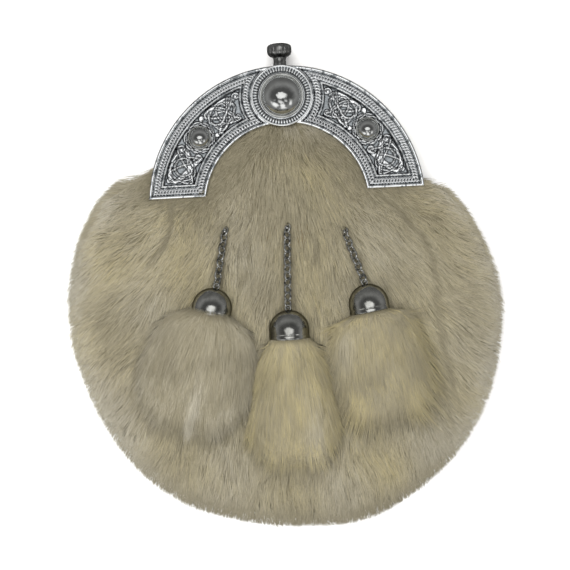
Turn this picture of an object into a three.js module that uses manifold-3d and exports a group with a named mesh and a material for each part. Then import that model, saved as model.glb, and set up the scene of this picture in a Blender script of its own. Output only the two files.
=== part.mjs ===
// A dress sporran: a round, gusseted leather pouch with a deep fur front, hung under a cast half-ring
// cantle, with three fur tassels on chains. It lies on its back on a flat surface.
//
// Millimetres. +Z points out of the front, +Y towards the clasp knob and +X to the right as seen from
// the front. The origin is on the flat of the back, under the middle of the pouch.
import * as THREE from "three";
import { mergeVertices } from "three/addons/utils/BufferGeometryUtils.js";
import Module from "manifold-3d";

const wasm = await Module();
wasm.setup();

// Driving dimensions
const clearance = 0.35; // between pieces that seat on each other
const leather = 2; // wall of the pouch and of its back
const beltLoop = { x: 27, y: 75.5, width: 18, span: 32, gap: 5, slope: 4, tab: 8 };
const backLift = { low: 16.5, high: 46, rise: beltLoop.gap + leather }; // the back steps forward here
const mouthGap = 5; // between the back and the front, under the cantle
const frontSheet = backLift.rise + 2 * leather + mouthGap; // top of the leather under the cantle

const cantle = { y: 49, outerR: 69.2, innerR: 40.5, endY: 54.4, plate: 3.2, rim: 1.6 };
cantle.back = frontSheet + clearance;
cantle.field = cantle.back + cantle.plate;
const relief = { rimWidth: 1.6, bandWidth: 4.1, lineWidth: 1.1, sink: 0.5 };
const boss = { y: 103, radius: 15.35, seat: 4.9, rim: 1, reedIn: 11.9, reedOut: 13.9, reeds: 16 };
const dome = { radius: 10, height: 6.2, rimR: 11.2 };
const stud = { angle: 40, radius: 5.3, height: 4.2, rimR: 5.9 };
const knot = { radius: 54.8, halfWidth: 0.85, height: 1.3, lift: 0.35 };

const clasp = { y: 97, length: 15, halfWidth: 8.5, boreR: 2.05, axisZ: 12.5 };
const knob = {
  plungerR: 1.7, plungerEnd: 100.5, stemEnd: 116, stemR: 3.2, headBase: 123.8, headR: 6.2, top: 130.5,
};

// Pouch body and fur coat, as seen from the front: how far each reaches from the origin
const pouchReach = [
  { angle: -90, reach: 98 },
  { angle: -60, reach: 98.5 },
  { angle: -30, reach: 97 },
  { angle: 0, reach: 95 },
  { angle: 20, reach: 93 },
  { angle: 36, reach: 92 },
];
const furReach = [
  { angle: -210, reach: 110.5 },
  { angle: -195, reach: 112.5 },
  { angle: -180, reach: 113 },
  { angle: -165, reach: 113 },
  { angle: -150, reach: 113.5 },
  { angle: -135, reach: 115.5 },
  { angle: -120, reach: 115.5 },
  { angle: -105, reach: 113.5 },
  { angle: -90, reach: 113.5 },
  { angle: -75, reach: 116 },
  { angle: -60, reach: 114.5 },
  { angle: -45, reach: 113 },
  { angle: -30, reach: 110.5 },
  { angle: -15, reach: 107.5 },
  { angle: 0, reach: 105.5 },
  { angle: 15, reach: 101.5 },
  { angle: 30, reach: 99 },
];
const pouch = { crown: 33, nearCantle: frontSheet - 0.15, level: 5, climb: 17, roundness: 3, spokes: 36 };
const fur = { crown: 43, rim: 13, hem: 2.8, nearCantle: 18.6, climb: 16, roundness: 2.4 };
const locks = {
  rootY: 100, from: 203.2, to: 329.4, columns: 33, rows: 10, ridge: 1.5, step: 1.3, tip: 2.2, hemShare: 0.94,
};

// Tassels, left to right: the eye of the bell, where the chain leaves the leather, lean from straight
// down, and the shape of the fur (where it is widest, how fast it fills out, how blunt its tip is)
const tassels = [
  { name: "left", eyeX: -36.6, eyeY: 8.6, anchorX: -31.6, anchorY: 36.5, links: 7, lean: -15,
    width: 56, length: 73, peak: 0.56, rise: 0.6, blunt: 2.4 },
  { name: "middle", eyeX: -2.4, eyeY: -3.6, anchorX: -0.8, anchorY: 36.5, links: 9, lean: 0,
    width: 41, length: 78, peak: 0.74, rise: 1, blunt: 2.4 },
  { name: "right", eyeX: 35.2, eyeY: 6.9, anchorX: 27.6, anchorY: 33, links: 7, lean: 8.5,
    width: 48, length: 70, peak: 0.5, rise: 0.42, blunt: 3.6 },
];
const bell = { radius: 9.7, height: 14, wall: 1, sit: 7.2, eyeR: 1.7, eyeWire: 0.36 };
const tuft = { neckR: 6.6, headTop: 7, above: 0.42, below: 0.05, ridge: 1.3, around: 12, rows: 8 };
const link = { length: 6, width: 4.4, wire: 0.5, sides: 5, steps: 10, hook: 0.3, post: 3.6 };

const radians = THREE.MathUtils.degToRad;
const point = (x, y, z = 0) => new THREE.Vector3(x, y, z);

// Finishes
const finish = (color, roughness, metalness) =>
  new THREE.MeshStandardMaterial({ color, roughness, metalness });
const chrome = finish(0xc9cdd0, 0.14, 1);
const darkSteel = finish(0x6a6a68, 0.32, 1);
const chainSteel = finish(0x8d8d8a, 0.3, 1);
const blackLeather = finish(0x241f1b, 0.6, 0);
const pouchLeather = finish(0x8f8168, 0.75, 0);
const creamFur = finish(0xb7ac90, 0.95, 0);
const paleFur = finish(0xbdb49c, 0.95, 0);

// A closed surface through rings of points: each ring joins the next. The ends are capped, unless the
// last ring joins the first or a ring is already pinched shut.
function ringGeometry(rings, { looped = false, pinched = false } = {}) {
  const count = rings[0].length;
  const points = rings.flat();
  const index = [];
  const bands = looped ? rings.length : rings.length - 1;
  for (let i = 0; i < bands; i++) {
    const here = i * count;
    const next = ((i + 1) % rings.length) * count;
    for (let k = 0; k < count; k++) {
      const m = (k + 1) % count;
      index.push(here + k, here + m, next + m, here + k, next + m, next + k);
    }
  }
  if (!looped) {
    const ends = [[0, 1], [(rings.length - 1) * count, 0]];
    for (const [start, turn] of pinched ? ends.slice(0, 1) : ends) {
      const middle = points.length;
      points.push(meanOf(points.slice(start, start + count)));
      for (let k = 0; k < count; k++) {
        const pair = [start + k, start + ((k + 1) % count)];
        index.push(pair[turn], pair[1 - turn], middle);
      }
    }
  }
  return facingOut(new THREE.BufferGeometry().setFromPoints(points).setIndex(index));
}

// The same surface with its faces pointing out of what it encloses.
function facingOut(geometry) {
  const { position } = geometry.attributes;
  const corner = (k) => point(0, 0, 0).fromBufferAttribute(position, geometry.index.array[k]);
  let volume = 0;
  for (let k = 0; k < geometry.index.count; k += 3) {
    volume += corner(k).dot(corner(k + 1).cross(corner(k + 2)));
  }
  if (volume < 0) geometry.index.array.reverse();
  return geometry;
}

function meanOf(points) {
  const sum = points.reduce((total, p) => total.add(p), point(0, 0, 0));
  return sum.divideScalar(points.length);
}

// A closed geometry as a solid for joining and cutting, with its faces pointing out.
function solidOf(geometry, matrix = new THREE.Matrix4()) {
  const bare = geometry.clone().deleteAttribute("normal").deleteAttribute("uv").applyMatrix4(matrix);
  const merged = facingOut(withoutSlivers(mergeVertices(bare, 1e-4)));
  const triVerts = new Uint32Array(merged.index.array);
  const vertProperties = merged.attributes.position.array;
  return new wasm.Manifold(new wasm.Mesh({ numProp: 3, vertProperties, triVerts }));
}

// The same surface without triangles that have two corners in one place.
function withoutSlivers(geometry) {
  const corners = geometry.index.array;
  const kept = [];
  for (let k = 0; k < corners.length; k += 3) {
    const [a, b, c] = corners.slice(k, k + 3);
    if (a !== b && b !== c && c !== a) kept.push(a, b, c);
  }
  return geometry.setIndex(kept);
}

function geometryOf(solid) {
  const { vertProperties, triVerts } = solid.getMesh();
  const geometry = new THREE.BufferGeometry();
  geometry.setAttribute("position", new THREE.BufferAttribute(new Float32Array(vertProperties), 3));
  geometry.setIndex(new THREE.BufferAttribute(triVerts, 1));
  geometry.computeVertexNormals();
  return geometry;
}

const joined = (solids) => solids.reduce((whole, next) => whole.add(next));

function largestBody(solid) {
  return solid.decompose().reduce((best, body) => (body.volume() > best.volume() ? body : best));
}

function prism(points, holes, bottom, top) {
  const shape = new THREE.Shape(points);
  shape.holes = holes.map((loop) => new THREE.Path(loop));
  const geometry = new THREE.ExtrudeGeometry(shape, { depth: top - bottom, bevelEnabled: false });
  return geometry.translate(0, 0, bottom);
}

// A profile of radii and heights turned round +Z.
function turned(profile, segments) {
  const points = profile.map(([radius, height]) => new THREE.Vector2(radius, height));
  return facingOut(new THREE.LatheGeometry(points, segments).rotateX(Math.PI / 2));
}

// Outlines of the pouch and of its fur

// Smooth value of a table of angles and reaches, held level past its ends.
function reachAt(table, degrees) {
  const last = table.length - 1;
  if (degrees <= table[0].angle) return table[0].reach;
  if (degrees >= table[last].angle) return table[last].reach;
  const i = table.findIndex((row) => row.angle > degrees) - 1;
  const share = (degrees - table[i].angle) / (table[i + 1].angle - table[i].angle);
  const at = (k) => table[Math.min(Math.max(k, 0), last)].reach;
  const a = (at(i + 1) - at(i - 1)) / 2;
  const b = (at(i + 2) - at(i)) / 2;
  const s2 = share * share;
  const s3 = s2 * share;
  const fromHere = at(i) * (2 * s3 - 3 * s2 + 1) + a * (s3 - 2 * s2 + share);
  const fromNext = at(i + 1) * (3 * s2 - 2 * s3) + b * (s3 - s2);
  return fromHere + fromNext;
}

// Degrees from +X, from -270 to 90, so that the cantle's side is where the range starts and ends.
function bearing(x, y) {
  const degrees = THREE.MathUtils.radToDeg(Math.atan2(y, x));
  return degrees > 90 ? degrees - 360 : degrees;
}

const smooth = THREE.MathUtils.smoothstep;
const mouthShare = (degrees) => smooth(Math.asin(Math.sin(radians(degrees))), radians(38), radians(46));

function pouchEdge(degrees) {
  const rise = Math.sin(radians(degrees));
  const side = reachAt(pouchReach, THREE.MathUtils.radToDeg(Math.asin(rise)));
  const arcR = cantle.outerR - 3;
  const half = cantle.y * rise;
  const underCantle = half + Math.sqrt(half * half + arcR * arcR - cantle.y * cantle.y);
  return THREE.MathUtils.lerp(side, underCantle, smooth(rise, Math.sin(radians(34)), Math.sin(radians(44))));
}

const furEdge = (degrees) => reachAt(furReach, degrees);
const backShare = (y) => (y - backLift.low) / (backLift.high - backLift.low);
const backAt = (y) => backLift.rise * THREE.MathUtils.clamp(backShare(y), 0, 1);

// How far a point is outside the cantle's half ring.
function besideCantle(x, y) {
  const fromCentre = Math.hypot(x, y - cantle.y);
  return Math.max(cantle.innerR - fromCentre, fromCentre - cantle.outerR, cantle.endY - y, 0);
}

const climbFrom = (start, climb, beside) =>
  start + climb * Math.pow(Math.max(beside, 0) / cantle.innerR, 0.75);
const softMin = (a, b) => (a + b - Math.sqrt((a - b) ** 2 + 9)) / 2 + 0.4;

function crownAt(edge, crown, share, roundness) {
  return edge + (crown - edge) * Math.pow(Math.max(1 - Math.pow(share, roundness), 0), 1 / roundness);
}

// Height of the leather front, inset inwards by a wall.
function pouchHeight(x, y, degrees, share, inset) {
  const edge = backAt(y) + leather + clearance;
  const rim = crownAt(edge, pouch.crown - inset, share, pouch.roundness);
  const slope = climbFrom(pouch.nearCantle - inset, pouch.climb, besideCantle(x, y) - pouch.level);
  const body = share >= 1 ? edge : Math.max(softMin(rim, slope), edge);
  return THREE.MathUtils.lerp(body, Math.min(slope, pouch.crown - inset), mouthShare(degrees));
}

// Height of the fur's outer form, without its locks.
function furHeight(x, y) {
  const share = Math.min(Math.hypot(x, y) / furEdge(bearing(x, y)), 1);
  const rim = crownAt(fur.rim, fur.crown, share, fur.roundness);
  return Math.max(softMin(rim, climbFrom(fur.nearCantle, fur.climb, besideCantle(x, y))), fur.rim);
}

// Leather pouch and its back

// Share of the way out at which the leather levels off: short of the cantle, or near the rim.
function levelShare(degrees) {
  const edge = pouchEdge(degrees);
  const across = Math.cos(radians(degrees));
  const up = Math.sin(radians(degrees));
  let reach = 0;
  while (reach < edge && besideCantle(reach * across, reach * up) > pouch.level) {
    reach += 0.5;
  }
  return Math.min(reach / edge, 0.93);
}

function pouchRing(step, inset, grow = 0) {
  return Array.from({ length: pouch.spokes }, (_, i) => {
    const degrees = -90 + (360 * i) / pouch.spokes;
    const share = step < 1 ? step * levelShare(degrees) : 1;
    const reach = (pouchEdge(degrees) - inset + grow) * share;
    const x = reach * Math.cos(radians(degrees));
    const y = reach * Math.sin(radians(degrees));
    return point(x, y, pouchHeight(x, y, degrees, share, inset) + grow);
  });
}

const pouchSteps = [0.34, 0.66, 0.87, 0.999, 1];

function pouchWall() {
  const outer = pouchSteps.map((step) => pouchRing(step, 0));
  const inner = pouchSteps.map((step) => pouchRing(step, leather)).reverse();
  const claspSlot = new THREE.BoxGeometry(2 * clasp.halfWidth + 2, 60, 20);
  claspSlot.translate(0, clasp.y + 29, frontSheet);
  const wall = solidOf(ringGeometry([...outer, ...inner]));
  return geometryOf(wall.subtract(solidOf(claspSlot)));
}

// Everything that the pouch fills, a clearance larger, down to below the fur's hem.
function pouchEnvelope() {
  const rings = pouchSteps.map((step) => pouchRing(step, 0, clearance));
  const foot = rings[rings.length - 1].map((p) => point(p.x, p.y, -1));
  return solidOf(ringGeometry([...rings, foot]));
}

function backPanel() {
  const rows = pouch.spokes / 2;
  return ringGeometry(
    Array.from({ length: rows - 1 }, (_, i) => {
      const degrees = -90 + (360 * (i + 1)) / pouch.spokes;
      const reach = pouchEdge(degrees);
      const x = reach * Math.cos(radians(degrees));
      const y = reach * Math.sin(radians(degrees));
      const low = backAt(y);
      const high = low + leather;
      return [point(-x, y, low), point(x, y, low), point(x, y, high), point(-x, y, high)];
    }),
  );
}

// A strap that stands off the back between two sewn tabs, so that a belt runs through along X.
function beltLoopStrap() {
  const { span, slope, tab, width } = beltLoop;
  const flat = span / 2;
  const foot = flat + slope;
  const high = backLift.rise - clearance;
  const side = [
    [-foot - tab, high - leather], [-foot, high - leather], [-flat, 0], [flat, 0],
    [foot, high - leather], [foot + tab, high - leather], [foot + tab, high], [foot - 1, high],
    [flat - 1, leather], [1 - flat, leather], [1 - foot, high], [-foot - tab, high],
  ].map(([y, z]) => new THREE.Vector2(y, z));
  const strap = prism(side, [], -width / 2, width / 2);
  return strap.rotateY(Math.PI / 2).rotateX(Math.PI / 2);
}

// Cantle

// Loop round one side of the cantle, inset from its edges. Every inset has the same number of points.
function sideLoop(inset, counts = { outer: 15, boss: 4, inner: 8, end: 3 }) {
  const outerR = cantle.outerR - inset;
  const innerR = cantle.innerR + inset;
  const bossR = boss.radius + inset - 0.8;
  const endRise = cantle.endY + inset - cantle.y;
  const offset = boss.y - cantle.y;
  const meets = (r) => Math.asin(Math.min((r * r + offset * offset - bossR * bossR) / (2 * r * offset), 1));
  const onRing = (r, angle) => [r * Math.cos(angle), r * Math.sin(angle) + cantle.y];
  const fromBoss = ([x, y]) => Math.atan2(y - boss.y, x);
  const outerMeet = meets(outerR);
  const innerMeet = meets(innerR);
  const bossFrom = fromBoss(onRing(outerR, outerMeet));
  const bossTo = fromBoss(onRing(innerR, innerMeet));
  const endOuter = onRing(outerR, Math.asin(endRise / outerR))[0];
  const endInner = onRing(innerR, Math.asin(endRise / innerR))[0];
  const edges = [
    [counts.outer, (t) => onRing(outerR, THREE.MathUtils.lerp(Math.asin(endRise / outerR), outerMeet, t))],
    [counts.boss, (t) => {
      const angle = THREE.MathUtils.lerp(bossFrom, bossTo, t);
      return [bossR * Math.cos(angle), boss.y + bossR * Math.sin(angle)];
    }],
    [counts.inner, (t) => onRing(innerR, THREE.MathUtils.lerp(innerMeet, Math.asin(endRise / innerR), t))],
    [counts.end, (t) => [THREE.MathUtils.lerp(endInner, endOuter, t), cantle.endY + inset]],
  ];
  return edges.flatMap(([count, at]) =>
    Array.from({ length: count }, (_, i) => new THREE.Vector2(...at(i / count))));
}

function cantleOutline(grow = 0, segments = 32) {
  const arc = (r, turn) => {
    const start = Math.asin((cantle.endY - grow - cantle.y) / r);
    return Array.from({ length: segments + 1 }, (_, i) => {
      const angle = THREE.MathUtils.lerp(start, Math.PI - start, turn ? 1 - i / segments : i / segments);
      return new THREE.Vector2(r * Math.cos(angle), r * Math.sin(angle) + cantle.y);
    });
  };
  return [...arc(cantle.outerR + grow, false), ...arc(cantle.innerR - grow, true)];
}

// Border round one side, swept as one section: rim, twisted band whose two edges rise and fall in turn,
// and the line round the panel.
function cantleBorder() {
  const bandStart = relief.rimWidth;
  const bandEnd = bandStart + relief.bandWidth;
  const lineEnd = bandEnd + relief.lineWidth;
  const insets = [0, 0, bandStart, bandStart + 0.3, bandEnd - 0.3, bandEnd, lineEnd, lineEnd + 0.2];
  const heights = (odd) => [0, 1, 1, odd ? 0.75 : 0.25, odd ? 0.25 : 0.75, 0.95, 0.95, 0];
  const loops = insets.map((inset) => sideLoop(inset));
  const low = (k) => (k === 0 ? cantle.back : cantle.field);
  const sections = loops[0].map((_, i) => {
    const shares = heights(i % 2 === 1);
    const crest = loops.map((loop, k) => point(loop[i].x, loop[i].y, low(k) + shares[k] * cantle.rim));
    const last = loops[loops.length - 1][i];
    return [...crest, point(last.x, last.y, cantle.back)];
  });
  return solidOf(ringGeometry(sections, { looped: true }));
}

// Raised strand along a closed path in the cantle's field; the path's z is the lift of its crest.
function strand(path) {
  const count = path.length;
  const low = cantle.field - relief.sink;
  const sections = path.map((p, i) => {
    const along = path[(i + 1) % count].clone().sub(path[(i + count - 1) % count]).setZ(0).normalize();
    const side = point(-along.y, along.x).multiplyScalar(knot.halfWidth);
    const crest = cantle.field + knot.height + p.z;
    const at = (share, z) => point(p.x + side.x * share, p.y + side.y * share, z);
    return [at(-1, low), at(1, low), at(0.5, crest), at(-0.5, crest)];
  });
  return solidOf(ringGeometry(sections, { looped: true }));
}

// Point of the right-hand panel, by distance along its middle arc from an angle, and across it.
function panelPoint(angle, along, across, lift) {
  const turn = radians(angle) + along / knot.radius;
  const r = knot.radius + across;
  return point(r * Math.cos(turn), r * Math.sin(turn) + cantle.y, lift);
}

const roundPath = (count, at) => Array.from({ length: count }, (_, i) => at((2 * Math.PI * i) / count));

// Three-cornered knot at the end, a ring round the stud, and a woven mat next to the boss.
function panelKnots() {
  const triquetra = roundPath(18, (t) => {
    const along = Math.cos(t) - 2 * Math.cos(2 * t);
    const across = Math.sin(t) + 2 * Math.sin(2 * t);
    return panelPoint(22.6, along * 2.3 - 0.4, across * 2.25, knot.lift * Math.sin(3 * t));
  });
  const ring = roundPath(10, (t) => panelPoint(stud.angle, 6.9 * Math.cos(t), 6.9 * Math.sin(t), -0.4));
  const mat = roundPath(24, (t) =>
    panelPoint(56.6, 7 * Math.sin(2 * t + 0.4), 5.9 * Math.sin(3 * t), knot.lift * Math.cos(7 * t)));
  return [triquetra, ring, mat].map(strand);
}

function cantleSide() {
  const floor = prism(sideLoop(relief.rimWidth + relief.bandWidth), [], cantle.back + 0.4, cantle.field);
  return joined([cantleBorder(), solidOf(floor), ...panelKnots()]);
}

// Round boss over the top of the half ring, with a seat for the dome and a ring of reeds.
function cantleBoss() {
  const { radius, seat, rim, reedIn, reedOut, reeds } = boss;
  const body = turned(
    [[0, 0], [radius, 0], [radius, seat + rim], [radius - 0.9, seat + rim], [radius - 1.2, seat], [0, seat]],
    20,
  );
  const sections = Array.from({ length: 2 * reeds }, (_, i) => {
    const angle = (Math.PI * i) / reeds;
    const top = seat + (i % 2 ? 0.25 : 0.85);
    const at = (r, z) => point(r * Math.cos(angle), r * Math.sin(angle), z);
    const foot = seat - relief.sink;
    return [at(reedIn, foot), at(reedOut, foot), at(reedOut, top), at(reedIn, top)];
  });
  const place = new THREE.Matrix4().makeTranslation(0, boss.y, cantle.back);
  return solidOf(body, place).add(solidOf(ringGeometry(sections, { looped: true }), place));
}

function cantleCasting() {
  const side = cantleSide();
  return geometryOf(joined([side, side.mirror([1, 0, 0]), cantleBoss()]));
}

// Everything that the cantle fills, a clearance larger, and all above it.
function cantleEnvelope() {
  const bottom = cantle.back - clearance;
  const above = cantle.back + 40;
  const ring = prism(cantleOutline(clearance), [], bottom, above);
  const roundR = boss.radius + clearance;
  const round = turned([[0, bottom], [roundR, bottom], [roundR, above], [0, above]], 24);
  return solidOf(ring).add(solidOf(round.translate(0, boss.y, 0)));
}

// Ball cap of a radius and height on a flat round foot, turned round +Z.
function capGeometry({ radius, height, rimR }, segments, rings) {
  const foot = 0.7;
  const rise = height - foot;
  const ball = (radius * radius + rise * rise) / (2 * rise);
  const half = Math.asin(radius / ball);
  const profile = Array.from({ length: rings + 1 }, (_, i) => {
    const angle = half * (1 - i / rings);
    return [i === rings ? 0 : ball * Math.sin(angle), ball * Math.cos(angle) - ball + height];
  });
  return turned([[0, 0], [rimR, 0], [rimR, foot], ...profile], segments);
}

// Clasp

// Block between the back and the cantle, bored along Y for the knob's plunger.
function claspBlock() {
  const bottom = backLift.rise + leather + clearance;
  const height = cantle.back - clearance - bottom;
  const block = new THREE.BoxGeometry(2 * clasp.halfWidth, clasp.length, height);
  block.translate(0, clasp.y + clasp.length / 2, bottom + height / 2);
  const bore = new THREE.CylinderGeometry(clasp.boreR, clasp.boreR, 60, 16);
  bore.translate(0, clasp.y, clasp.axisZ);
  return geometryOf(solidOf(block).subtract(solidOf(bore)));
}

// Mushroom knob on a stem, with a plunger that slides in the clasp block, turned round +Y.
function knobGeometry() {
  const { plungerR, plungerEnd, stemEnd, stemR, headBase, headR, top } = knob;
  const profile = [
    [0, plungerEnd], [plungerR, plungerEnd], [plungerR, stemEnd], [stemR, stemEnd], [stemR, stemEnd + 4],
    [stemR - 0.4, headBase - 1.2], [stemR, headBase - 0.4], [headR - 0.9, headBase + 0.5],
    [headR, headBase + 2.2], [headR - 0.3, headBase + 4.2], [headR - 1.4, top - 1.1],
    [headR - 3.4, top - 0.3], [0, top],
  ];
  return facingOut(new THREE.LatheGeometry(profile.map(([r, y]) => new THREE.Vector2(r, y)), 12));
}

// Tassels. Each hangs in a frame of its own: the origin at the bell's top, -Y down the tassel, +Z up.

function tasselFrame({ eyeX, eyeY, lean, length }) {
  const turn = radians(lean);
  const tipX = eyeX + length * Math.sin(turn);
  const tipY = eyeY - length * Math.cos(turn);
  const eyeZ = furHeight(eyeX, eyeY) + bell.sit;
  const dip = Math.atan2(furHeight(eyeX, eyeY) - furHeight(tipX, tipY), length);
  const frame = new THREE.Group();
  frame.position.set(eyeX, eyeY, eyeZ);
  frame.rotation.set(dip, 0, turn, "ZXY");
  frame.updateMatrix();
  return frame;
}

const bellProfile = (radius, height, count) => Array.from({ length: count + 1 }, (_, i) => {
  const angle = (Math.PI / 2) * (i / count);
  return [radius * Math.sin(angle), -radius * (1 - Math.cos(angle))];
}).concat([[radius, -height]]);

// Domed cup with a small eye on top, open below.
function bellGeometry() {
  const outer = bellProfile(bell.radius, bell.height, 3);
  const inner = bellProfile(bell.radius - bell.wall, bell.height - bell.wall, 2)
    .map(([r, y]) => [r, y - bell.wall]);
  const section = [...outer, ...inner.reverse()].map(([r, y]) => new THREE.Vector2(r, y));
  const cup = new THREE.LatheGeometry(section, 12);
  const eye = new THREE.TorusGeometry(bell.eyeR - bell.eyeWire, bell.eyeWire, 5, 8);
  return geometryOf(solidOf(cup).add(solidOf(eye.translate(0, bell.eyeR - 2 * bell.eyeWire, 0))));
}

// Half width of a tassel's fur at a share of its length.
function tuftWidth({ width, peak, rise, blunt }, share) {
  const half = width / 2;
  const start = bell.radius + 1.2;
  if (share < peak) return start + (half - start) * Math.pow(Math.sin((Math.PI / 2) * (share / peak)), rise);
  return half * Math.pow(Math.max(1 - Math.pow((share - peak) / (1 - peak), blunt), 0), 1 / blunt);
}

// Fur of a tassel: a head inside the bell, then locks that fill out and close at the tip. It is flatter
// than it is wide, and flattest where it lies on the pouch.
function tuftGeometry(tassel) {
  const mouth = -bell.height - clearance;
  const fall = tassel.length + mouth;
  const head = [-tuft.headTop, mouth].map((y) => tuftRing(y, tuft.neckR, tuft.around));
  const body = Array.from({ length: tuft.rows }, (_, i) => {
    const share = (i + 1) / (tuft.rows + 0.25);
    const ridge = tuft.ridge * Math.min(4 * share, 1);
    return tuftRing(mouth - share * fall, tuftWidth(tassel, share), tuft.around, i % 2 ? ridge : -ridge);
  });
  return ringGeometry([...head, tuftRing(mouth - 0.1, bell.radius + 0.5, tuft.around), ...body]);
}

// One ring of a tassel, with its ridges: round up to the bell's size, then flatter.
function tuftRing(y, halfWidth, around, ridge = 0, grow = 0) {
  return Array.from({ length: around }, (_, i) => {
    const angle = (2 * Math.PI * i) / around;
    const reach = Math.max(halfWidth + (i % 2 ? -ridge : ridge), 0.6);
    const flat = Math.sin(angle) > 0 ? tuft.above : tuft.below;
    const depth = Math.min(reach, bell.radius) + flat * Math.max(reach - bell.radius, 0);
    return point((reach + grow) * Math.cos(angle), y, (depth + grow) * Math.sin(angle));
  });
}

// The hollow that a tassel and its bell press in the fur.
function tasselEnvelope(tassel) {
  const around = 12;
  const fall = tassel.length - bell.height;
  const body = [0.05, 0.22, 0.45, 0.7, 0.9, 1.02].map((share) => {
    const halfWidth = Math.max(tuftWidth(tassel, Math.min(share, 0.97)), bell.radius) + 1.2;
    return tuftRing(-bell.height - share * fall, halfWidth, around, 0, 1.8);
  });
  return ringGeometry([tuftRing(1.5, 5, around), tuftRing(-5, bell.radius, around, 0, 1.6), ...body]);
}

// Chains

// One stadium-shaped link in the XY plane, along X, about the origin.
function linkGeometry() {
  const bend = link.width / 2 - link.wire;
  const straight = link.length / 2 - link.width / 2;
  const sections = Array.from({ length: link.steps }, (_, i) => {
    const angle = (2 * Math.PI * (i + 0.5)) / link.steps;
    const out = point(Math.cos(angle), Math.sin(angle));
    const middle = out.clone().multiplyScalar(bend).add(point(Math.sign(out.x) * straight, 0));
    return Array.from({ length: link.sides }, (_, k) => {
      const turn = (2 * Math.PI * k) / link.sides;
      return middle.clone().addScaledVector(out, link.wire * Math.cos(turn)).setZ(link.wire * Math.sin(turn));
    });
  });
  return ringGeometry(sections, { looped: true });
}

// Where a chain runs: from its post on the leather, up through the fur, to the bell's eye.
function chainEnds(tassel, frame) {
  const degrees = bearing(tassel.anchorX, tassel.anchorY);
  const share = Math.hypot(tassel.anchorX, tassel.anchorY) / pouchEdge(degrees);
  const leatherZ = pouchHeight(tassel.anchorX, tassel.anchorY, degrees, share, 0);
  const from = point(tassel.anchorX, tassel.anchorY, leatherZ + 2 * clearance);
  const start = from.clone().add(point(0, 0, link.post));
  const eye = point(0, bell.eyeR - 2 * bell.eyeWire, 0).applyMatrix4(frame.matrix);
  return { from, start, eye };
}

// Links turned a quarter from each other, each hooked in the next, on a post that stands on the leather.
function chainGeometry(tassel, frame) {
  const { from, start, eye } = chainEnds(tassel, frame);
  const run = eye.clone().sub(start);
  const along = run.clone().normalize();
  const hooked = link.length - 4 * link.wire + link.hook;
  const pitch = run.length() / (tassel.links - 1 + (link.length / 2 - link.wire) / hooked);
  const up = point(0, 0, 1).addScaledVector(along, -along.z).normalize();
  const across = new THREE.Vector3().crossVectors(up, along);
  const geometry = linkGeometry();
  const links = Array.from({ length: tassel.links }, (_, i) => {
    const normal = (tassel.links - i) % 2 ? across : up;
    const side = new THREE.Vector3().crossVectors(normal, along);
    const middle = start.clone().addScaledVector(along, pitch * i);
    const place = new THREE.Matrix4().makeBasis(along, side, normal).scale(point(pitch / hooked, 1, 1));
    return solidOf(geometry, place.setPosition(middle));
  });
  const post = new THREE.CylinderGeometry(1.4, 1.4, link.post, 8);
  post.rotateX(Math.PI / 2).translate(0, 0, link.post / 2);
  return geometryOf(joined([solidOf(post, new THREE.Matrix4().setPosition(from)), ...links]));
}

// The parting that a chain makes in the fur.
function chainParting(tassel, frame) {
  const { start, eye } = chainEnds(tassel, frame);
  const path = new THREE.LineCurve3(start.clone().lerp(eye, -0.18), eye);
  const round = roundPath(8, (t) => new THREE.Vector2(4.2 * Math.cos(t), 4.2 * Math.sin(t)));
  const along = { steps: 1, bevelEnabled: false, extrudePath: path };
  return solidOf(new THREE.ExtrudeGeometry(new THREE.Shape(round), along));
}

// Fur coat

// Rows of locks that fan out from under the boss: ridges and hollows in turn, tips over the next row's
// roots, and longer tips at the rim, where the coat turns under to its hem.
function coatRings() {
  const directions = Array.from({ length: locks.columns }, (_, i) =>
    radians(THREE.MathUtils.lerp(locks.from, locks.to, i / (locks.columns - 1))));
  const rim = directions.map(rimDistance);
  const edgeFade = (i) => Math.min(i, locks.columns - 1 - i, 2) / 2;
  const at = (i, share) => {
    const reach = rim[i] * share + (share > 0.9 ? (i % 2 ? locks.tip : -locks.tip) : 0);
    return point(reach * Math.cos(directions[i]), locks.rootY + reach * Math.sin(directions[i]));
  };
  const row = (share, heightAt) => {
    const top = directions.map((_, i) => {
      const p = at(i, share);
      const height = heightAt(p, i);
      return p.setZ(THREE.MathUtils.lerp(Math.min(height, fur.rim), height, edgeFade(i)));
    });
    const foot = directions.map((_, i) => at(i, Math.min(share, locks.hemShare)).setZ(fur.hem));
    return [...top, ...foot.reverse()];
  };
  const rows = Array.from({ length: locks.rows }, (_, k) => {
    const share = 0.06 + (locks.hemShare - 0.06) * Math.pow(k / (locks.rows - 1), 0.8);
    const turn = Math.floor(k / 2) % 2;
    const step = k % 2 ? locks.step : -locks.step;
    return row(share, (p, i) => {
      const spread = Math.min(Math.hypot(p.x, p.y - locks.rootY) / 110, 1);
      return furHeight(p.x, p.y) + spread * (step + ((i + turn) % 2 ? locks.ridge : -locks.ridge));
    });
  });
  return [
    ...rows,
    row(1, () => fur.rim),
    row(0.98, () => (fur.rim + fur.hem) / 2.4),
    row(locks.hemShare, () => fur.hem),
  ];
}

// Distance from the fan's root to the fur's outline along a direction.
function rimDistance(direction) {
  let inside = 40;
  let outside = 260;
  while (outside - inside > 0.05) {
    const reach = (inside + outside) / 2;
    const x = reach * Math.cos(direction);
    const y = locks.rootY + reach * Math.sin(direction);
    if (Math.hypot(x, y) < furEdge(bearing(x, y))) inside = reach;
    else outside = reach;
  }
  return inside;
}

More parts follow.
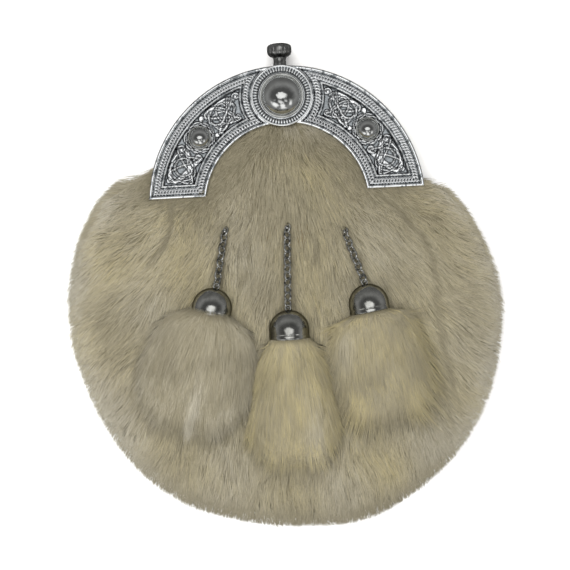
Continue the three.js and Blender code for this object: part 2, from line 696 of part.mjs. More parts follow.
function furCoat(frames) {
  const cuts = tassels.flatMap((tassel, i) =>
    [solidOf(tasselEnvelope(tassel), frames[i].matrix), chainParting(tassel, frames[i])]);
  const around = joined([pouchEnvelope(), cantleEnvelope(), ...cuts]);
  return geometryOf(largestBody(solidOf(ringGeometry(coatRings(), { pinched: true })).subtract(around)));
}

// Assembly

function named(name, geometry, material, parent) {
  const mesh = new THREE.Mesh(geometry, material);
  mesh.name = name;
  parent.add(mesh);
  return mesh;
}

const sporran = new THREE.Group();
sporran.name = "sporran";

named("back_panel", backPanel(), blackLeather, sporran);
named("pouch_wall", pouchWall(), pouchLeather, sporran);
for (const [side, sign] of [["left", -1], ["right", 1]]) {
  named(`belt_loop_${side}`, beltLoopStrap(), blackLeather, sporran)
    .position.set(sign * beltLoop.x, beltLoop.y, 0);
}

named("cantle", cantleCasting(), chrome, sporran);
named("centre_dome", capGeometry(dome, 20, 4), chrome, sporran)
  .position.set(0, boss.y, cantle.back + boss.seat + clearance);
for (const [side, sign] of [["left", -1], ["right", 1]]) {
  const seat = panelPoint(stud.angle, 0, 0, cantle.field + clearance);
  named(`stud_${side}`, capGeometry(stud, 14, 3), chrome, sporran)
    .position.set(sign * seat.x, seat.y, seat.z);
}

named("clasp_block", claspBlock(), darkSteel, sporran);
named("clasp_knob", knobGeometry(), darkSteel, sporran).position.set(0, 0, clasp.axisZ);

const frames = tassels.map(tasselFrame);
tassels.forEach((tassel, i) => {
  sporran.add(frames[i]);
  named(`tassel_bell_${tassel.name}`, bellGeometry(), chainSteel, frames[i]);
  named(`tassel_fur_${tassel.name}`, tuftGeometry(tassel), paleFur, frames[i]);
  named(`tassel_chain_${tassel.name}`, chainGeometry(tassel, frames[i]), chainSteel, sporran);
});
named("fur_coat", furCoat(frames), creamFur, sporran);

export default sporran;
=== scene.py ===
import bpy
import numpy as np
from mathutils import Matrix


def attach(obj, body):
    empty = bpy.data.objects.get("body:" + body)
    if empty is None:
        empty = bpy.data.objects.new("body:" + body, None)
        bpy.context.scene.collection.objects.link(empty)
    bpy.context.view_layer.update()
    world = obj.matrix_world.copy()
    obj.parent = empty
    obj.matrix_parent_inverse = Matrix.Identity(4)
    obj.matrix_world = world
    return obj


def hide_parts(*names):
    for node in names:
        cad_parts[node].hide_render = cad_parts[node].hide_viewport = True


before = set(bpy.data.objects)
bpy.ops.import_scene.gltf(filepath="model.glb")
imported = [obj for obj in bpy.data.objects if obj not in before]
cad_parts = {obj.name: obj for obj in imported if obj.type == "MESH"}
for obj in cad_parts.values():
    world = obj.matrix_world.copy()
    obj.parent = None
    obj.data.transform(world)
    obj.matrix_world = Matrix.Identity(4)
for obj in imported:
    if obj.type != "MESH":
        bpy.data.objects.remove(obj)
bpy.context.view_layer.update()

print("frame loaded, nodes:", len(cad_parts))


# Shared tools. Every shape is worked out in millimetres and put into its mesh in metres.

def linear(hexColour):
    # sRGB hex to linear: below 0.04045 a thirteenth or so, above it the 2.4 power curve
    srgb = np.array([int(hexColour[i:i + 2], 16) for i in (0, 2, 4)]) / 255
    rgb = np.where(srgb <= 0.04045, srgb / 12.92, ((srgb + 0.055) / 1.055) ** 2.4)
    return (*rgb.tolist(), 1.0)


def feed(material, node, inputs):
    # each input of a node as a value or as a link from another socket
    for name, value in inputs.items():
        if isinstance(value, bpy.types.NodeSocket):
            material.node_tree.links.new(value, node.inputs[name])
        else:
            node.inputs[name].default_value = value


def addNode(material, kind, settings=None, inputs=None):
    # a new node with its properties and its inputs
    node = material.node_tree.nodes.new(kind)
    for name, value in (settings or {}).items():
        setattr(node, name, value)
    feed(material, node, inputs or {})
    return node


def startMaterial(name, sockets):
    # one Principled shader with the values that are the same all over
    material = bpy.data.materials.new(name)
    material.use_nodes = True
    shader = material.node_tree.nodes["Principled BSDF"]
    feed(material, shader, sockets)
    return material, shader


def readValues(material, name):
    return addNode(material, "ShaderNodeAttribute", {"attribute_name": name}).outputs["Fac"]


def noise(material, size, detail, rough=0.5):
    # a wandering value on the piece, with features of about one size in millimetres
    where = addNode(material, "ShaderNodeTexCoord").outputs["Object"]
    node = addNode(material, "ShaderNodeTexNoise", None,
                   {"Vector": where, "Scale": 1000 / size, "Detail": detail, "Roughness": rough})
    return node.outputs["Fac"]


def mapped(material, value, fromRange, toRange, smooth=False):
    # a value carried from one range to another, straight or by a smooth step
    kind = {"interpolation_type": "SMOOTHSTEP" if smooth else "LINEAR"}
    node = addNode(material, "ShaderNodeMapRange", kind,
                   {"Value": value, "From Min": fromRange[0], "From Max": fromRange[1],
                    "To Min": toRange[0], "To Max": toRange[1]})
    return node.outputs["Result"]


def maths(material, operation, *values):
    return addNode(material, "ShaderNodeMath", {"operation": operation}, dict(enumerate(values))).outputs[0]


def mixed(material, factor, first, second):
    # colour between two: sockets 6 and 7 of a mix node are its colours, output 2 its result
    node = addNode(material, "ShaderNodeMix", {"data_type": "RGBA"}, {"Factor": factor, 6: first, 7: second})
    return node.outputs[2]


def colourRamp(material, factor, stops):
    # colours along a factor: each stop is a place and an sRGB hex or a plain brightness
    ramp = addNode(material, "ShaderNodeValToRGB", None, {"Fac": factor})
    for number, (place, colour) in enumerate(stops):
        elements = ramp.color_ramp.elements
        stop = elements[number] if number < 2 else elements.new(place)
        stop.position = place
        stop.color = linear(colour) if isinstance(colour, str) else (colour, colour, colour, 1)
    return ramp.outputs["Color"]


def gridFaces(rows, columns, wrapRows=False, wrapColumns=False):
    # quads between neighbours of a grid whose points are numbered row by row
    ids = np.arange(rows * columns).reshape(rows, columns)
    if wrapRows:
        ids = np.vstack([ids, ids[:1]])
    if wrapColumns:
        ids = np.hstack([ids, ids[:, :1]])
    return np.stack([ids[:-1, :-1], ids[1:, :-1], ids[1:, 1:], ids[:-1, 1:]], -1).reshape(-1, 4)


def pointsAt(x, y, z):
    # three arrays that fit together, as one array of points
    return np.stack(np.broadcast_arrays(x, y, z), -1).astype(float)


def circle(count):
    return np.linspace(0, 2 * np.pi, count, endpoint=False)


def volumeOf(points, faceSets):
    # six times the enclosed volume: each face cut into a fan of triangles from its first corner
    total = 0.0
    for faces in faceSets:
        first = points[faces[:, 0]]
        for k in range(1, faces.shape[1] - 1):
            total += np.einsum("ij,ij->", first, np.cross(points[faces[:, k]], points[faces[:, k + 1]]))
    return total


def makePiece(name, points, faceSets, material, stands, body="pouch"):
    # points in mm, and arrays of faces with one row a face; turned outwards, then named to the frame
    points = np.asarray(points, float).reshape(-1, 3)
    faceSets = [np.asarray(faces) for faces in faceSets if len(faces)]
    if volumeOf(points - points.mean(0), faceSets) < 0:
        faceSets = [faces[:, ::-1] for faces in faceSets]
    corners = np.concatenate([faces.ravel() for faces in faceSets]).astype(np.int32)
    sizes = np.concatenate([np.full(len(faces), faces.shape[1]) for faces in faceSets])
    mesh = bpy.data.meshes.new(name)
    mesh.vertices.add(len(points))
    mesh.vertices.foreach_set("co", (points * 0.001).astype(np.float32).ravel())
    mesh.loops.add(len(corners))
    mesh.loops.foreach_set("vertex_index", corners)
    mesh.polygons.add(len(sizes))
    mesh.polygons.foreach_set("loop_start", (np.cumsum(sizes) - sizes).astype(np.int32))
    mesh.polygons.foreach_set("use_smooth", np.ones(len(sizes), bool))
    mesh.update(calc_edges=True)
    mesh.materials.append(material)
    piece = bpy.data.objects.new(name, mesh)
    bpy.context.scene.collection.objects.link(piece)
    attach(piece, body)
    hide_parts(*stands)
    print("made", name, "with", int((sizes - 2).sum()), "triangles")
    return piece


def addValues(piece, name, values):
    # one number a vertex, which the material reads by that name
    layer = piece.data.attributes.new(name, "FLOAT", "POINT")
    layer.data.foreach_set("value", np.asarray(values, np.float32).ravel())


def turned(profile, segments):
    # radius and height of each row carried round +Z; a row of radius 0 at an end is one point
    profile = np.asarray(profile, float)
    rings = profile[profile[:, 0] > 0]
    angle = circle(segments)
    x = np.outer(rings[:, 0], np.cos(angle))
    y = np.outer(rings[:, 0], np.sin(angle))
    points = pointsAt(x, y, rings[:, 1:]).reshape(-1, 3)
    hasPoles = profile[0, 0] == 0
    faceSets = [gridFaces(len(rings), segments, not hasPoles, True)]
    if hasPoles:
        lower = np.arange(segments)
        upper = lower + (len(rings) - 1) * segments
        pole = np.full(segments, len(points))
        points = np.vstack([points, [0, 0, profile[0, 1]], [0, 0, profile[-1, 1]]])
        faceSets.append(np.stack([pole, np.roll(lower, -1), lower], -1)[:, ::-1])
        faceSets.append(np.stack([pole + 1, upper, np.roll(upper, -1)], -1)[:, ::-1])
    return points, faceSets


def ripple(x, y, wave, seed):
    # smooth wander between about -1 and 1: seven sine waves of about one length in seeded directions
    rng = np.random.default_rng(seed)
    turn = rng.uniform(0, 2 * np.pi, 7)
    size = 2 * np.pi / wave * rng.uniform(0.7, 1.4, 7)
    phase = rng.uniform(0, 2 * np.pi, 7)
    waves = np.multiply.outer(x, size * np.cos(turn)) + np.multiply.outer(y, size * np.sin(turn))
    return np.sin(waves + phase).sum(-1) / 3.2


def smoothStep(value, low, high):
    share = np.clip((value - low) / (high - low), 0, 1)
    return share * share * (3 - 2 * share)


def unit(vectors):
    return vectors / np.maximum(np.linalg.norm(vectors, axis=-1, keepdims=True), 1e-9)


# Camera: straight above the part, 700 mm up, turned 3 degrees; about 280 mm fill the frame at mid height
view = {"place": (-0.00325, 0.0085, 0.7), "turn": -3.0, "angle": 23.67}
camera = bpy.data.objects.new("camera", bpy.data.cameras.new("camera"))
camera.location = view["place"]
camera.rotation_euler = (0, 0, np.radians(view["turn"]))
camera.data.angle = np.radians(view["angle"])
bpy.context.scene.collection.objects.link(camera)
bpy.context.scene.camera = camera
bpy.context.scene.view_settings.view_transform = "Standard"


# Fur: every strand is a thin closed spindle from a root over a bent middle to a tip

# Rabbit fur, tanned and brushed: fine dull hair that is darker and browner at the root, pale at the tip,
# and turns from grey cream to straw in patches, with a soft sheen across the lie of the hair
furColours = {"root": "6c6652", "grey": "aba698", "straw": "ab9e6f", "deep": "847d68", "hide": "8b846e"}
furFinish = {"Roughness": 0.62, "Specular IOR Level": 0.25, "Sheen Weight": 0.25, "Sheen Roughness": 0.45}


def furMaterial(name):
    material, shader = startMaterial(name, furFinish)
    warm = readValues(material, "warm")
    pale = colourRamp(material, warm, [(0.0, furColours["grey"]), (1.0, furColours["straw"])])
    toned = mixed(material, readValues(material, "tone"), linear(furColours["deep"]), pale)
    rise = mapped(material, readValues(material, "along"), (0.0, 0.55), (0.0, 1.0))
    feed(material, shader, {"Base Color": mixed(material, rise, linear(furColours["root"]), toned)})
    return material


def hideMaterial(name):
    # the felted underfur next to the skin: woolly, dull, in 1.5 mm wisps
    material, shader = startMaterial(name, {"Roughness": 0.9, "Specular IOR Level": 0.15})
    wisps = noise(material, 1.5, 4.0, 0.6)
    shade = colourRamp(material, wisps, [(0.25, furColours["root"]), (0.7, furColours["hide"])])
    bump = addNode(material, "ShaderNodeBump", None, {"Height": wisps, "Distance": 0.0003})
    feed(material, shader, {"Base Color": shade, "Normal": bump.outputs["Normal"]})
    return material


rabbitFur = furMaterial("rabbit fur")
underfur = hideMaterial("felted underfur")


def strandPiece(name, root, middle, tip, half, tone, warm, facing, slot, stands, start, gloss):
    # root point, three points round the middle, tip point: six triangles a strand, closed.
    # The map lays every strand by its warmth and tone across and by its length upwards.
    count = len(root)
    rng = np.random.default_rng(count)
    axis = unit(tip - root)
    side = unit(np.cross(axis, unit(rng.normal(size=(count, 3)))))
    other = np.cross(axis, side)
    angle = np.array([0, 2, 4]) * np.pi / 3
    spread = side[:, None] * np.cos(angle)[:, None] + other[:, None] * np.sin(angle)[:, None]
    ring = middle[:, None] + spread * half[:, None, None]
    points = np.concatenate([root[:, None], ring, tip[:, None]], 1)
    corners = np.array([[0, 2, 1], [0, 3, 2], [0, 1, 3], [4, 1, 2], [4, 2, 3], [4, 3, 1]])
    faces = (np.arange(count)[:, None, None] * 5 + corners).reshape(-1, 3)
    piece = makePiece(name, points.reshape(-1, 3), [faces], rabbitFur, stands)
    bands = 8  # steps of warmth, side by side on the map
    warmBand = np.clip(np.floor(warm * bands), 0, bands - 1)
    tone = np.clip(tone, 0, 1)
    share = start + (1 - start) * np.array([0, 0.45, 0.45, 0.45, 1.0])
    addValues(piece, "along", np.tile(share, count))
    addValues(piece, "tone", np.repeat(tone, 5))
    addValues(piece, "warm", np.repeat((warmBand + 0.5) / bands, 5))
    across = np.repeat((warmBand + 0.1 + 0.8 * tone) / bands, 5)
    across = across + np.tile([0, -0.004, 0.0, 0.004, 0], count)
    corner = np.zeros(len(piece.data.loops), np.int32)
    piece.data.loops.foreach_get("vertex_index", corner)
    spots = np.stack([across, np.tile(0.02 + 0.96 * share, count)], -1)[corner]
    layer = piece.data.uv_layers.new(name="OFBake")
    layer.data.foreach_set("uv", spots.astype(np.float32).ravel())
    # every strand is shaded mostly the way the fur faces there, so that many strands read as one soft coat
    ends = np.zeros((count, 1, 3))
    shading = unit(facing[:, None] + gloss * np.concatenate([ends, spread, ends], 1))
    piece.data.normals_split_custom_set_from_vertices(shading.reshape(-1, 3).astype(np.float32))


# Fur coat: the form of the pouch's front, from the reach of its outline and the rise of its crown
coat = {
    "reach": [110.5, 112.5, 113, 113, 113.5, 115.5, 115.5, 113.5, 113.5,
              116, 114.5, 113, 110.5, 107.5, 105.5, 101.5, 99],
    "reachFrom": -210, "reachStep": 15,  # degrees round the outline, anticlockwise from -210
    "crown": 43, "rim": 13, "nearCantle": 18.6, "climb": 16, "roundness": 2.4, "droop": 0.9,
    "fanY": 100, "fanFrom": 204.2, "fanTo": 328.4,
}
cantle = {"y": 49, "outer": 69.2, "inner": 40.5, "end": 54.4, "back": 16.35, "field": 19.55}


def bearing(x, y):
    degrees = np.degrees(np.arctan2(y, x))
    return np.where(degrees > 90, degrees - 360, degrees)


def furReach(x, y):
    # reach of the outline along the bearing of a place: a smooth cubic through the table, level past its ends
    reach = np.array(coat["reach"], float)
    place = np.clip((bearing(x, y) - coat["reachFrom"]) / coat["reachStep"], 0, len(reach) - 1.001)
    i = np.floor(place).astype(int)
    s = place - i
    before, start, end, after = (reach[np.clip(i + k, 0, len(reach) - 1)] for k in (-1, 0, 1, 2))
    return (start * (2 * s**3 - 3 * s**2 + 1) + (end - before) / 2 * (s**3 - 2 * s**2 + s)
            + end * (3 * s**2 - 2 * s**3) + (after - start) / 2 * (s**3 - s**2))


def besideCantle(x, y):
    # distance outside the half ring
    fromCentre = np.hypot(x, y - cantle["y"])
    gap = np.maximum(cantle["inner"] - fromCentre, fromCentre - cantle["outer"])
    return np.maximum(np.maximum(gap, cantle["end"] - y), 0)


def underCantle(x, y):
    # distance inside the half ring, from its nearest edge
    fromCentre = np.hypot(x, y - cantle["y"])
    gap = np.minimum(cantle["outer"] - fromCentre, fromCentre - cantle["inner"])
    return np.minimum(gap, y - cantle["end"])


crossing = {"soft": 3, "lift": 0.4}


def softLower(first, second):
    # lower of two heights, rounded over some 3 mm where they cross and lifted a little
    gap = first - second
    return (first + second - np.sqrt(gap**2 + crossing["soft"] ** 2)) / 2 + crossing["lift"]


def furHeight(x, y):
    # lower of a crown that rounds off to the rim and a slope that climbs away from the cantle;
    # past the rim it droops
    reach = np.hypot(x, y)
    edge = furReach(x, y)
    share = np.minimum(reach / edge, 1)
    n = coat["roundness"]
    crown = coat["rim"] + (coat["crown"] - coat["rim"]) * np.maximum(1 - share**n, 0) ** (1 / n)
    slope = coat["nearCantle"] + coat["climb"] * (besideCantle(x, y) / cantle["inner"]) ** 0.75
    return np.maximum(softLower(crown, slope), coat["rim"]) - coat["droop"] * np.maximum(reach - edge, 0)


def hideHeight(x, y):
    # the felt lies 1.8 mm under the fur's outer form at the cantle and 2.6 mm under it elsewhere
    return furHeight(x, y) - 1.8 - 0.8 * np.clip(besideCantle(x, y) / 15, 0, 1)


def rimDistance(direction):
    # distance from the fan's root to the outline along each direction, by halving
    low = np.full(direction.shape, 40.0)
    high = np.full(direction.shape, 260.0)
    for _ in range(24):
        middle = (low + high) / 2
        x = middle * np.cos(direction)
        y = coat["fanY"] + middle * np.sin(direction)
        inside = np.hypot(x, y) < furReach(x, y)
        low = np.where(inside, middle, low)
        high = np.where(inside, high, middle)
    return low


# Leather pouch under the fur: its outline and height, which the chains' posts stand on too
pouch = {"sideAt": [-90, -60, -30, 0, 20, 36], "side": [98, 98.5, 97, 95, 93, 92], "arcInset": 3,
         "crown": 33, "low": 2.35, "nearCantle": 15.85, "climb": 17, "level": 5, "step": 7, "stepFrom": 16.5,
         "stepRun": 29.5}


def sineStep(rise, fromDegrees, toDegrees):
    return smoothStep(rise, np.sin(np.radians(fromDegrees)), np.sin(np.radians(toDegrees)))


def pouchEdge(degrees):
    # side reach by table, turning into the arc under the cantle above 34 to 44 degrees
    rise = np.sin(np.radians(degrees))
    side = np.interp(np.degrees(np.arcsin(rise)), pouch["sideAt"], pouch["side"])
    half = cantle["y"] * rise
    arc = half + np.sqrt(half**2 + (cantle["outer"] - pouch["arcInset"]) ** 2 - cantle["y"] ** 2)
    return side + (arc - side) * sineStep(rise, 34, 44)


def backAt(y):
    # the back steps forward over the belt loops
    return pouch["step"] * np.clip((y - pouch["stepFrom"]) / pouch["stepRun"], 0, 1)


def leatherHeight(x, y, inset=0.0):
    # lower of a crown that falls to the back and a slope that climbs away from the cantle
    degrees = bearing(x, y)
    share = np.minimum(np.hypot(x, y) / pouchEdge(degrees), 1)
    low = backAt(y) + pouch["low"]
    top = pouch["crown"] - inset
    crown = low + (top - low) * np.maximum(1 - share**3, 0) ** (1 / 3)
    away = np.maximum(besideCantle(x, y) - pouch["level"], 0)
    slope = pouch["nearCantle"] - inset + pouch["climb"] * (away / cantle["inner"]) ** 0.75
    soft = np.maximum(softLower(crown, slope), low)
    mouth = sineStep(np.sin(np.radians(degrees)), 38, 46)
    return soft + (np.minimum(slope, top) - soft) * mouth


def endLimit(x, y):
    # how high the felt may stand near an end of the fan: 9 mm at the cut edge, 5.4 mm more for each
    # degree inwards, and free over the leather
    angle = np.degrees(np.arctan2(y - coat["fanY"], x)) % 360
    inward = np.maximum(np.minimum(angle - coat["fanFrom"], coat["fanTo"] - angle), 0)
    overLeather = smoothStep(pouchEdge(bearing(x, y)) + 3 - np.hypot(x, y), 0, 4)
    return 9 + 5.4 * inward + 40 * overLeather


# The skin under the hair: rows fan out from under the boss, turn under at the rim and come back beneath
hide = {"columns": 85, "rows": 40, "wall": 2.2, "lowest": 2.6,
        "topFrom": 0.06, "topRun": 0.885, "crowding": 0.8, "beneath": 0.96,
        "turnShare": [0.962, 0.966, 0.955, 0.935, 0.922, 0.915],
        "turnHeight": [10.2, 7.4, 4.4, 3.0, 3.4, 6.0]}
direction = np.radians(np.linspace(coat["fanFrom"], coat["fanTo"], hide["columns"]))
rimAt = rimDistance(direction)
topShare = hide["topFrom"] + hide["topRun"] * np.linspace(0, 1, hide["rows"]) ** hide["crowding"]
allShare = np.concatenate([topShare, hide["turnShare"], topShare[::-1] * hide["beneath"]])
hideX = np.outer(allShare, rimAt * np.cos(direction))
hideY = np.outer(allShare, rimAt * np.sin(direction)) + coat["fanY"]
hideZ = np.minimum(hideHeight(hideX, hideY), endLimit(hideX, hideY))
turnHeight = np.array(hide["turnHeight"])[:, None]
turnRows = slice(hide["rows"], hide["rows"] + len(turnHeight))
hideZ[turnRows] = np.minimum(turnHeight, hideZ[turnRows])
hideZ[turnRows.stop:] -= hide["wall"]
hideZ = np.maximum(hideZ, hide["lowest"])
hideFaces = gridFaces(len(allShare), hide["columns"], True, False)
endColumn = np.arange(len(allShare)) * hide["columns"]
hideEnds = [endColumn[None, ::-1], endColumn[None] + hide["columns"] - 1]
makePiece("fur_coat_hide", pointsAt(hideX, hideY, hideZ), [hideFaces, *hideEnds],
          underfur, ["fur_coat"])


# Chains and tassels: the bell's eye, the chain's foot on the leather, lean, and the shape of the fur.
# pale is a paler wisp: its place across and along, its width and length, and how much paler it is.
tassels = {
    "left": {"eye": (-36.6, 8.6), "foot": (-31.6, 36.5), "links": 9, "lean": -15, "width": 56, "length": 73,
             "peak": 0.56, "rise": 0.33, "blunt": 2.4, "warm": 0.04, "tone": 0.08, "overBell": 3.6,
             "fray": 2.0, "pale": (2.2, 0.92, 2.4, 0.26, 0.7), "draw": 0.55},
    "middle": {"eye": (-2.4, -3.6), "foot": (-0.8, 36.5), "links": 12, "lean": 0, "width": 41, "length": 78,
               "peak": 0.74, "rise": 1, "blunt": 2.4, "warm": 0.98, "tone": 0.24, "overBell": 0.6,
               "fray": 2.0, "pale": (10, 0.82, 6.5, 0.24, 0.35), "draw": 0.0},
    "right": {"eye": (35.2, 6.9), "foot": (27.6, 33), "links": 9, "lean": 8.5, "width": 43, "length": 70,
              "peak": 0.5, "rise": 0.27, "blunt": 3.2, "warm": 0.96, "tone": 0.14, "overBell": 1.0,
              "fray": 4.2, "pale": (-16, 0.4, 6, 0.26, 0.25), "draw": 0.0},
}
bell = {"radius": 9.7, "height": 14, "wall": 1, "sit": 7.2, "eyeR": 1.7, "eyeWire": 0.36, "gap": 0.35}
post = {"gap": 0.7, "height": 3.6, "radius": 1.4}
eyeMiddle = bell["eyeR"] - 2 * bell["eyeWire"]


def tasselPlace(tassel):
    # origin at the bell's top and a turn: lean about +Z, after a dip so that the tip lies on the coat
    x, y = tassel["eye"]
    lean = np.radians(tassel["lean"])
    tip = np.array([x + tassel["length"] * np.sin(lean), y - tassel["length"] * np.cos(lean)])
    start = furHeight(np.array(x), np.array(y))
    dip = np.arctan2(start - furHeight(tip[0], tip[1]), tassel["length"])
    c, s = np.cos(lean), np.sin(lean)
    turnZ = np.array([[c, -s, 0], [s, c, 0], [0, 0, 1]])
    turnX = np.array([[1, 0, 0], [0, np.cos(dip), -np.sin(dip)], [0, np.sin(dip), np.cos(dip)]])
    return np.array([x, y, start + bell["sit"]]), turnZ @ turnX


def chainRun(tassel):
    # foot and top of the post on the leather, and the middle of the bell's eye
    x, y = tassel["foot"]
    foot = np.array([x, y, leatherHeight(np.array(x), np.array(y)) + post["gap"]])
    origin, turn = tasselPlace(tassel)
    return foot, foot + np.array([0, 0, post["height"]]), origin + turn @ np.array([0, eyeMiddle, 0])


def besideChain(x, y, tassel, above):
    # share of the way along a chain's run as seen from the front, the distance from it, and its height there
    start, eye = chainRun(tassel)[1:]
    run = eye[:2] - start[:2]
    share = np.clip(((x - start[0]) * run[0] + (y - start[1]) * run[1]) / (run @ run), -above, 1)
    away = np.hypot(x - start[0] - share * run[0], y - start[1] - share * run[1])
    return share, away, start[2] + share * (eye[2] - start[2])


def tuftReach(tassel, share):
    # half width along the fall: fills out from the bell to its widest, then closes to a blunt tip
    half, start = tassel["width"] / 2, bell["radius"] + 1.2
    upper = np.clip(share / tassel["peak"], 0, 1)
    lower = np.clip((share - tassel["peak"]) / (1 - tassel["peak"]), 0, 1)
    filling = start + (half - start) * np.sin(np.pi / 2 * upper) ** tassel["rise"]
    closing = half * np.maximum(1 - lower ** tassel["blunt"], 0) ** (1 / tassel["blunt"])
    return np.where(share < tassel["peak"], filling, closing)


# Hair of the coat: it lies down and outwards from under the boss, in locks that draw together at the tip.
# A parting is a line of points on the plan, with one strength for how deep it sinks and how much painted
# shade darkens the hair along it; a patch is the middle of a paler (positive) or greyer place, how wide it
# is, and how much. The corner lock lies over the left arm's corner.
coatHair = {
    "from": (-118, -118), "to": (118, 92), "rimInset": 3.0, "tuckUnder": 4.5, "underZ": 15.9,
    "fringe": (-2.8, 1.5), "rimDroop": 8.0, "cornerLock": {"x": -42, "y": 54, "wide": 4, "rise": 4.2},
    "count": 75000, "pieces": 3, "seed": 7, "length": 14.5, "half": 0.13, "lock": 7.0, "wisp": 2.4,
    "lockPull": 0.14, "wispPull": 0.24, "partingWide": 1.5, "chainWide": 2.0, "tasselWide": 4.0,
    "partings": [
        ([(-58.6, 53), (-58.8, 41), (-63.3, 29), (-69.6, 22)], 1.0), ([(-25.5, 11), (-20, 14.2)], 0.6),
        ([(12.5, 27), (13.2, 20)], 0.7), ([(-70, 56), (-60, 53.5)], 0.6), ([(-46, 52), (-33, 57)], 0.5),
        ([(6, 44), (9, 48)], 0.5),
        ([(48, 50), (59.5, 38), (68.5, 26.5), (71.5, 9.5), (71.5, -7.5), (73, -25), (77, -44.5)], 0.6)],
    "patches": [(-63, 37, 19, 0.45), (-78, 6, 16, -0.12), (-8, 50, 18, -0.3), (-14, 56, 9, -0.16)],
}


def lieOfHair(x, y):
    # away from the fan's root, which sinks a little towards the outline, and wandering by some degrees
    far = np.clip(np.hypot(x, y - coat["fanY"]) / 120, 0, 1)
    angle = np.arctan2(y - (coat["fanY"] + 6 - 6 * far), x)
    angle = angle + (0.2 * ripple(x, y, 30, 1) + 0.09 * ripple(x, y, 11, 2)) * (0.4 + 0.6 * far)
    angle = angle + 0.42 * smoothStep(x, 62, 84) - 0.2 * smoothStep(-x, 60, 90)  # flatter along both sides
    return np.cos(angle), np.sin(angle)


def swayed(x, y, angle):
    # directions on the plan, turned by an angle
    return x * np.cos(angle) - y * np.sin(angle), x * np.sin(angle) + y * np.cos(angle)


def lockCentre(x, y, size, seed):
    # middle of the lock that a root belongs to, on a square grid bent by a wander, and the lock's number
    # from 0 to 1, which a steep sine of its column and row scatters
    bendX = 0.45 * size * ripple(x, y, 3.2 * size, seed)
    bendY = 0.45 * size * ripple(x, y, 3.2 * size, seed + 1)
    column = np.floor((x + bendX) / size)
    row = np.floor((y + bendY) / size + 0.5 * (column % 2))
    number = np.modf(np.abs(np.sin(column * 12.9898 + row * 78.233 + seed) * 43758.5453))[0]
    return (column + 0.5) * size - bendX, (row + 0.5 - 0.5 * (column % 2)) * size - bendY, number


def parting(x, y):
    # 1 on a parting, falling off beside it as a bell curve
    depth = np.zeros(np.shape(x))
    for points, dark in coatHair["partings"]:
        for (startX, startY), (endX, endY) in zip(points[:-1], points[1:]):
            runX, runY = endX - startX, endY - startY
            share = np.clip(((x - startX) * runX + (y - startY) * runY) / (runX**2 + runY**2), 0, 1)
            away = np.hypot(x - startX - share * runX, y - startY - share * runY)
            depth = np.maximum(depth, dark * np.exp(-((away / coatHair["partingWide"]) ** 2)))
    return depth


def tonePatch(x, y):
    # wide paler and greyer places of the coat, each a bell curve round its middle
    total = np.zeros(np.shape(x))
    for patchX, patchY, wide, tone in coatHair["patches"]:
        total = total + tone * np.exp(-((x - patchX) ** 2 + (y - patchY) ** 2) / wide**2)
    return total


def tasselShade(x, y):
    # 1 under a tassel, falling off beside its outline as a bell curve
    shade = np.zeros(np.shape(x))
    for tassel in tassels.values():
        lean, fall = np.radians(tassel["lean"]), tassel["length"] - bell["height"]
        awayX, awayY = x - tassel["eye"][0], y - tassel["eye"][1]
        share = (awayX * np.sin(lean) - awayY * np.cos(lean) - bell["height"]) / fall
        across = np.abs(awayX * np.cos(lean) + awayY * np.sin(lean))
        beside = np.maximum(across - tuftReach(tassel, np.clip(share, 0, 0.97)), 0)
        past = np.maximum(np.maximum(share - 1, -share), 0) * fall
        shade = np.maximum(shade, np.exp(-(beside**2 + past**2) / coatHair["tasselWide"] ** 2))
    return shade


def chainShade(x, y):
    # 1 in the deep parting under a chain, which runs on a little above it, falling to 0 some 4 mm beside it
    away = [besideChain(x, y, tassel, 0.14)[1] for tassel in tassels.values()]
    return np.exp(-((np.min(away, axis=0) / coatHair["chainWide"]) ** 2))


def partedHeight(x, y):
    # the fur's height with a narrow valley where each chain comes up out of it and along each parting
    height = furHeight(x, y) - 1.2 * parting(x, y)
    for tassel in tassels.values():
        share, away, chainZ = besideChain(x, y, tassel, 0.06)
        deck = chainZ - 1.6 + 3.0 * smoothStep(-share, -0.2, 0.02)
        height = np.minimum(height, deck + 1.8 * np.maximum(away - 1.0, 0))
    return height - 0.7 * ripple(x, y, 34, 81) * np.clip(besideCantle(x, y) / 12, 0, 1)


def furFacing(x, y):
    # outward direction of the fur, from the fall of its height over 1 mm
    fallX = partedHeight(x - 0.5, y) - partedHeight(x + 0.5, y)
    fallY = partedHeight(x, y - 0.5) - partedHeight(x, y + 0.5)
    return unit(pointsAt(fallX, fallY, 1.0))


def trimEnds(x, y):
    # hair at the coat's two ends keeps to a round shoulder: close to the cut edge at the cantle,
    # and up to 5.4 mm past it further out
    allowed = 0.2 + 5.2 * smoothStep(besideCantle(x, y), 1, 11)
    for degrees, outside in ((coat["fanFrom"], -1), (coat["fanTo"], 1)):
        normalX, normalY = -outside * np.sin(np.radians(degrees)), outside * np.cos(np.radians(degrees))
        extra = np.maximum(x * normalX + (y - coat["fanY"]) * normalY - allowed, 0)
        x, y = x - extra * normalX, y - extra * normalY
    return x, y


def keptInside(tipX, tipY, lieX, lieY, length, limit, most):
    # tips drawn back along their hair to the limit's reach, by at most a share of the hair
    over = np.clip((np.hypot(tipX, tipY) - limit) / length, 0, most)
    return tipX - over * lieX * length, tipY - over * lieY * length


